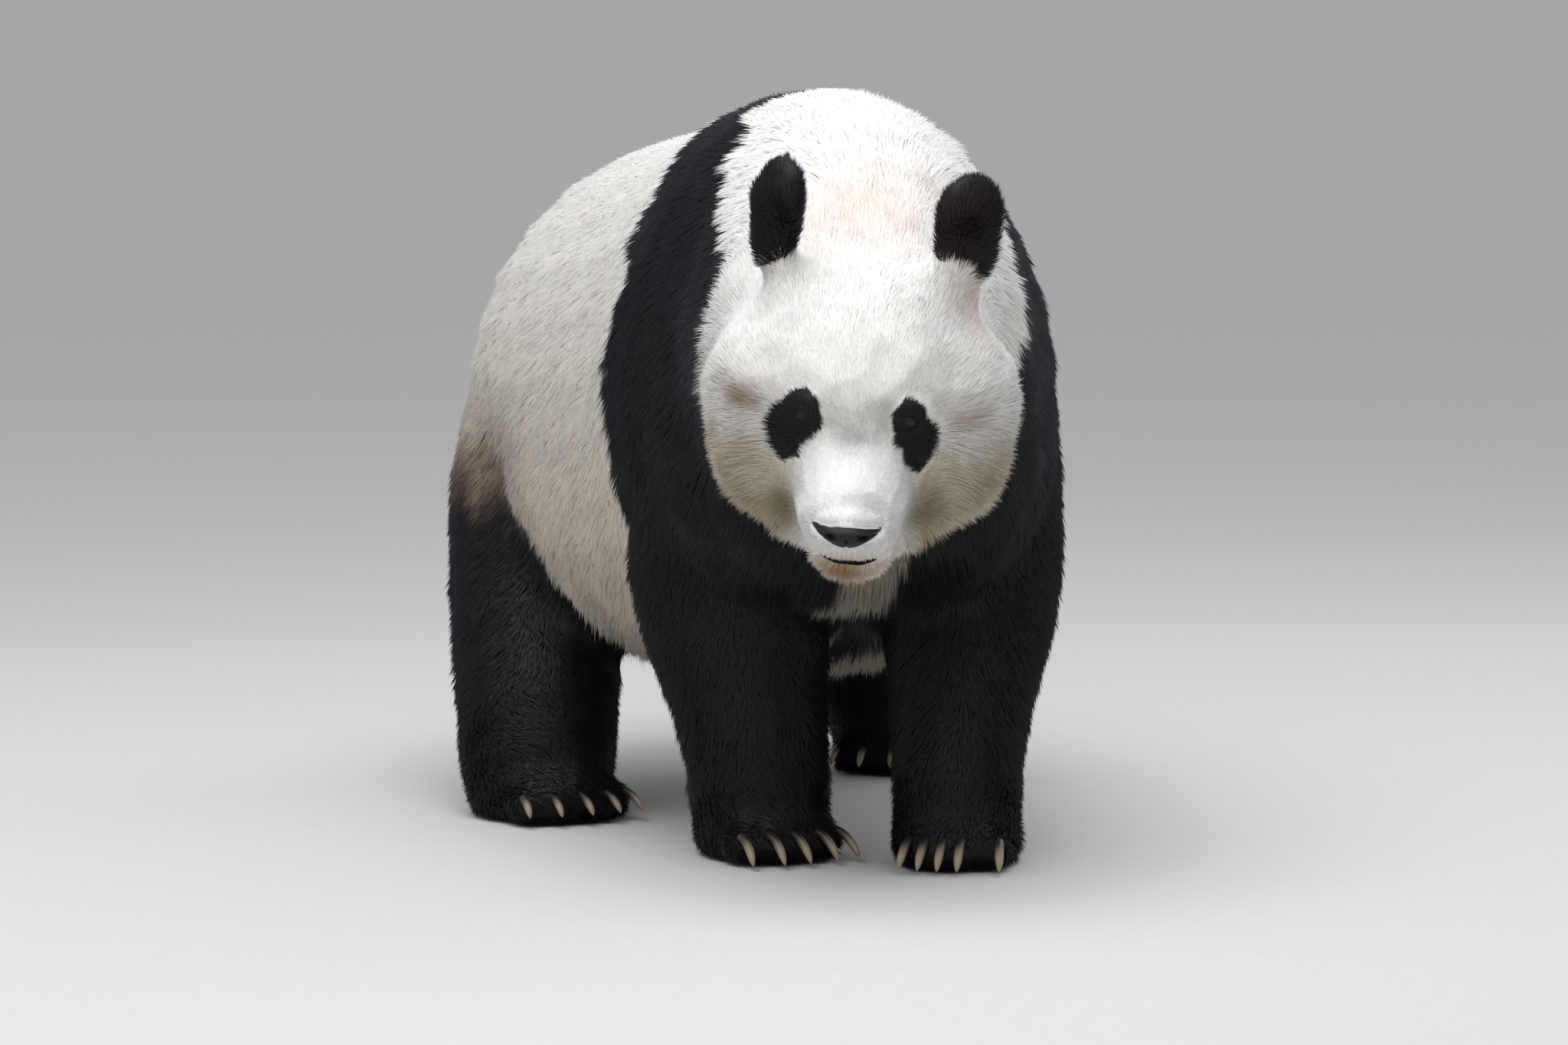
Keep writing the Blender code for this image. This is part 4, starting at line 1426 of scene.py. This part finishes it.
@dataclass
class Nose:
    """The nose pad: a leathery half moon, flat above where the fur meets it, with comma nostrils."""

    rows: int = 72
    around: int = 120
    square: float = 2.4

    MIDDLE = np.array((-0.0012, 0.0800, -0.0805))
    HALF = (0.0350, 0.0225, 0.0140)
    ABOVE, BELOW = 0.80, 1.12  # height above and below the middle, of the half height
    NOSTRIL = (0.0160, -0.0010)

    @classmethod
    def away(cls, local: np.ndarray, size: tuple) -> np.ndarray:
        """How far points of the face lie from the pad's middle, one at a share of its half size."""
        return np.linalg.norm((local - cls.MIDDLE) / (np.array(cls.HALF) * size), axis=1)

    def build(self, marks: Landmarks, material: bpy.types.Material) -> None:
        """Shapes a cushion, then presses in the nostrils and the groove below them.

        Args:
            marks: The landmarks.
            material: Its leather.
        """
        tilt = np.linspace(0.01, math.pi - 0.01, self.rows)
        turn = circle(self.around)
        a, b = np.meshgrid(tilt, turn, indexing="ij")
        way = np.stack((np.sin(a) * np.cos(b), np.cos(a), np.sin(a) * np.sin(b)), -1)
        size = (np.abs(way) ** self.square).sum(-1) ** (-1 / self.square)
        p = way * size[..., None] * np.array(self.HALF)
        p[..., 2] *= np.where(p[..., 2] > 0, self.ABOVE, self.BELOW)
        p[..., 0] *= 1 - 0.42 * ramp(-p[..., 2], -0.003, 1.1 * self.HALF[2])  # it narrows downward
        side = p[..., 0] / self.HALF[0]
        p[..., 2] += 0.0022 * side ** 2
        p[..., 1] -= 0.0075 * side ** 2  # and rounds back to the sides
        front = ramp(p[..., 1], -0.002, 0.008)
        u = (np.abs(p[..., 0]) - self.NOSTRIL[0]) / 0.0062
        v = (p[..., 2] - self.NOSTRIL[1] + 0.0012 * u) / 0.0030
        slot = ((np.abs(p[..., 0]) - 0.0245) / 0.0060) ** 2 + ((p[..., 2] - 0.0006) / 0.0017) ** 2
        rim = np.exp(-((np.hypot(u, v) - 1.5) ** 2) / 0.15)
        groove = np.exp(-((p[..., 0] / 0.0012) ** 2)) * ramp(-p[..., 2], -0.003, 0.005)
        press = 0.0085 * np.exp(-(u * u + v * v)) + 0.0040 * np.exp(-slot) + 0.0028 * groove - 0.0010 * rim
        p[..., 1] -= front * press
        points, faces = tube(p)
        obj = mesh_object("nose_pad", marks.from_face(self.MIDDLE + points), faces)
        settled(obj, material, "nose_skin", "nose")


@dataclass
class Lips:
    """The dark lips, parted by their crease."""

    half_height: float = 0.0040
    half_depth: float = 0.0024
    count: int = 64
    around: int = 24

    def strip(self, tree: BVHTree, marks: Landmarks, path: np.ndarray) -> np.ndarray:
        """Rings of a strip laid on the skin.

        Args:
            tree: The skin.
            marks: The landmarks.
            path: Places across and up, from one end to the other.

        Returns:
            An array of rings by points by 3.
        """
        ahead = marks.face_axes[1]
        places = []
        for across, up in path:
            start = marks.from_face((across, 0.3, up))
            hit = tree.ray_cast(Vector(start), Vector(-ahead))[0]
            places.append(np.array(hit) if hit else places[-1])
        places = np.array(places)
        for _ in range(4):
            places[1:-1] = (places[:-2] + places[1:-1] + places[2:]) / 3
        along = unit(np.gradient(places, axis=0))
        out = tangent(np.tile(ahead, (len(places), 1)), along)
        up = np.cross(along, out)
        turn = circle(self.around)
        crease = 1 - 0.75 * np.exp(-((np.cos(turn / 2 + math.pi / 4) / 0.16) ** 2))
        fade = np.sqrt(np.clip(1 - np.linspace(-1, 1, len(places)) ** 4, 0.02, 1))[:, None, None]
        tall = np.cos(turn)[None, :, None] * up[:, None] * self.half_height
        deep = (np.sin(turn) * crease)[None, :, None] * out[:, None] * self.half_depth
        return places[:, None] + out[:, None] * 0.0012 + (tall + deep) * fade

    def build(self, marks: Landmarks, skin: Skin, material: bpy.types.Material) -> None:
        """Makes both lips as one piece.

        Args:
            marks: The landmarks.
            skin: The skin.
            material: Their leather.
        """
        tree = BVHTree.FromPolygons(skin.points.tolist(), skin.triangles.tolist())
        across = np.linspace(-Mouth.HALF_WIDTH, Mouth.HALF_WIDTH, self.count)
        rings = self.strip(tree, marks, np.column_stack((across, Mouth.level(across))))
        settled(mesh_object("lips", *tube(rings)), material, "nose_skin")


@dataclass
class Claws:
    """Smooth curved claws through the middle lines of the solid ones."""

    rows: int = 16
    around: int = 14
    slim: float = 0.96  # width as a share of depth
    girth: float = 1.12  # of the solid claw's
    root: str = "#2A231D"
    tip: str = "#8E8168"

    def one(self, node: str) -> tuple[np.ndarray, np.ndarray, np.ndarray]:
        """A claw along the middle line of its solid's three rings.

        Args:
            node: The solid's name.

        Returns:
            Points, faces and colours.
        """
        rings = claw_rings(node)
        thick = np.linalg.norm(rings[0] - rings[0].mean(0), axis=1).mean()
        a, b, c = (r.mean(0) for r in rings)
        t = np.linspace(0, 1, self.rows)[:, None]
        mid = 0.55
        line = (a * (t - mid) * (t - 1) / mid + b * t * (t - 1) / (mid * (mid - 1))
                + c * t * (t - mid) / (1 - mid))
        along = unit(np.gradient(line, axis=0))
        up = tangent(np.tile((0.0, 0.0, 1.0), (self.rows, 1)), along)
        side = np.cross(along, up)
        turn = circle(self.around)
        reach = thick * self.girth * (1 - 0.12 * t - 0.78 * t ** 7)
        ring = np.cos(turn)[None, :, None] * side[:, None] * self.slim
        ring = ring + np.sin(turn)[None, :, None] * up[:, None]
        under = 1 - 0.18 * np.clip(-np.sin(turn), 0, 1)[None, :, None]
        solid = line[:, None] + ring * under * reach[:, None]
        solid[-1] = line[-1] + (solid[-1] - line[-1]) * 0.1
        solid[..., 2] = np.maximum(solid[..., 2], 0.0004)
        points, faces = tube(solid)
        # Brown at the root to beige at the tip; the top is painted lighter and the underside darker, as
        # painted light and shade.
        tone = ramp(t, 0.25, 0.75) * (0.55 + 0.45 * ramp(np.sin(turn)[None, :], -0.6, 0.5))
        root, tip = linear(self.root), linear(self.tip)
        return points, faces, (root + (tip - root) * tone[..., None]).reshape(-1, 3)

    def build(self, material: bpy.types.Material) -> None:
        """Makes the five claws of each paw as one piece.

        Args:
            material: Their horn.
        """
        for kind in ("fore", "hind"):
            for side in SIDES:
                nodes = [f"claw_{kind}_{side}_{k}" for k in TOES]
                points, faces, colours = [], [], []
                for node in nodes:
                    p, f, c = self.one(node)
                    faces.append(f + sum(map(len, points)))
                    points.append(p)
                    colours.append(c)
                obj = mesh_object(f"claws_{kind}_{side}", np.concatenate(points), np.concatenate(faces))
                write_colour(obj.data, "horn_colour", np.concatenate(colours))
                settled(obj, material, "claw_horn", *nodes)


# ------------------------------------------------------------------ studio
@dataclass
class Studio:
    """Pale floor, large soft lamps and the camera."""

    floor_size: float = 900.0
    azimuth: float = math.radians(-12.0)
    fall: float = math.radians(4.54)
    distance: float = 7.03
    height: float = 0.90
    aside: float = 0.0594
    stand: tuple = (0.0071, -0.2496)  # the floor point below the withers
    lens: float = 158.2

    def floor(self) -> None:
        """A pale floor at the soles."""
        half = self.floor_size / 2
        corners = np.array([(x * half, y * half, 0.0) for x, y in ((-1, -1), (1, -1), (1, 1), (-1, 1))])
        obj = mesh_object("floor", corners, np.array([[0, 1, 2, 3]]))
        obj.data.materials.append(StudioFloor().build())

    def lamp(self, name: str, place: tuple, size: float, power: float, code: str) -> None:
        """A square soft lamp aimed at the animal's middle.

        Args:
            name: Its name.
            place: Where it hangs, from the animal's middle.
            size: Its side in metres.
            power: Its power in watts.
            code: Its colour.
        """
        data = bpy.data.lights.new(name, "AREA")
        data.size, data.energy, data.color = size, power, linear(code)
        obj = placed(name, data)
        middle = (CAD_LOW + CAD_HIGH) / 2
        obj.location = middle + Vector(place)
        obj.rotation_euler = (middle - obj.location).to_track_quat("-Z", "Y").to_euler()

    def camera(self) -> None:
        """A long lens a little above the animal's back, seven metres off."""
        turn = -self.azimuth
        right = Vector((math.cos(turn), -math.sin(turn), 0))
        ahead = Vector((math.sin(turn), math.cos(turn), 0))
        data = bpy.data.cameras.new("camera")
        data.lens, data.sensor_width = self.lens, 36.0
        obj = placed("camera", data)
        obj.location = Vector((*self.stand, self.height)) - ahead * self.distance - right * self.aside
        look = ahead * math.cos(self.fall) - Vector((0, 0, math.sin(self.fall)))
        obj.rotation_euler = look.to_track_quat("-Z", "Y").to_euler()
        bpy.context.scene.camera = obj

    def build(self) -> None:
        """Floor, lamps, sky and camera."""
        self.floor()
        self.lamp("overhead", (-0.5, -0.8, 3.0), 3.0, 100.0, "#F6F8FF")
        self.lamp("front", (-1.8, -3.6, 2.6), 2.8, 40.0, "#FFFDF8")
        self.lamp("right_rim", (2.6, 1.4, 2.2), 2.0, 18.0, "#F4F7FF")
        world = bpy.data.worlds.new("sky")
        world.use_nodes = True
        sky = world.node_tree.nodes["Background"].inputs
        sky["Color"].default_value = rgba("#E6E9EE")
        sky["Strength"].default_value = 0.75
        bpy.context.scene.world = world
        bpy.context.scene.view_settings.view_transform = "Standard"
        self.camera()


def main() -> None:
    """Builds the dressed panda in order and reports each piece."""
    marks, markings = Landmarks(), Markings()
    skin = Skin(marks)
    _, colours = markings.colours(Places(skin.points, skin.shares, marks))
    write_colour(skin.obj.data, "coat_colour", colours)
    flesh = [name for names in FLESH.values() for name in names if not name.startswith(("eye", "nose"))]
    settled(skin.obj, UnderCoat().build(), "black_fur", *flesh)
    leather = BareSkin("nose_leather", "#060506", "#110F10", 0.0012, 0.42, 0.32, 0.10).build()
    lid = BareSkin("lid_skin", "#060506", "#0D0C0D", 0.0009, 0.60, 0.16, 0.0).build()
    cornea = EyeSurface().build()
    for name in SIDES:
        Eye(name, skin).build(cornea, lid)
    Nose().build(marks, leather)
    Lips().build(marks, skin, lid)
    Claws().build(Horn().build())
    white = Fur("white_guard_hair", 0.80, 0.10, "#FFFFFF", 0.15).build()
    black = Fur("black_guard_hair", 0.55, 0.07, "#93A2BE", 0.35).build()
    coat = Coat(skin, markings, 1.0)
    coat.build(white, black)
    Studio().build()


if __name__ == "__main__":
    main()
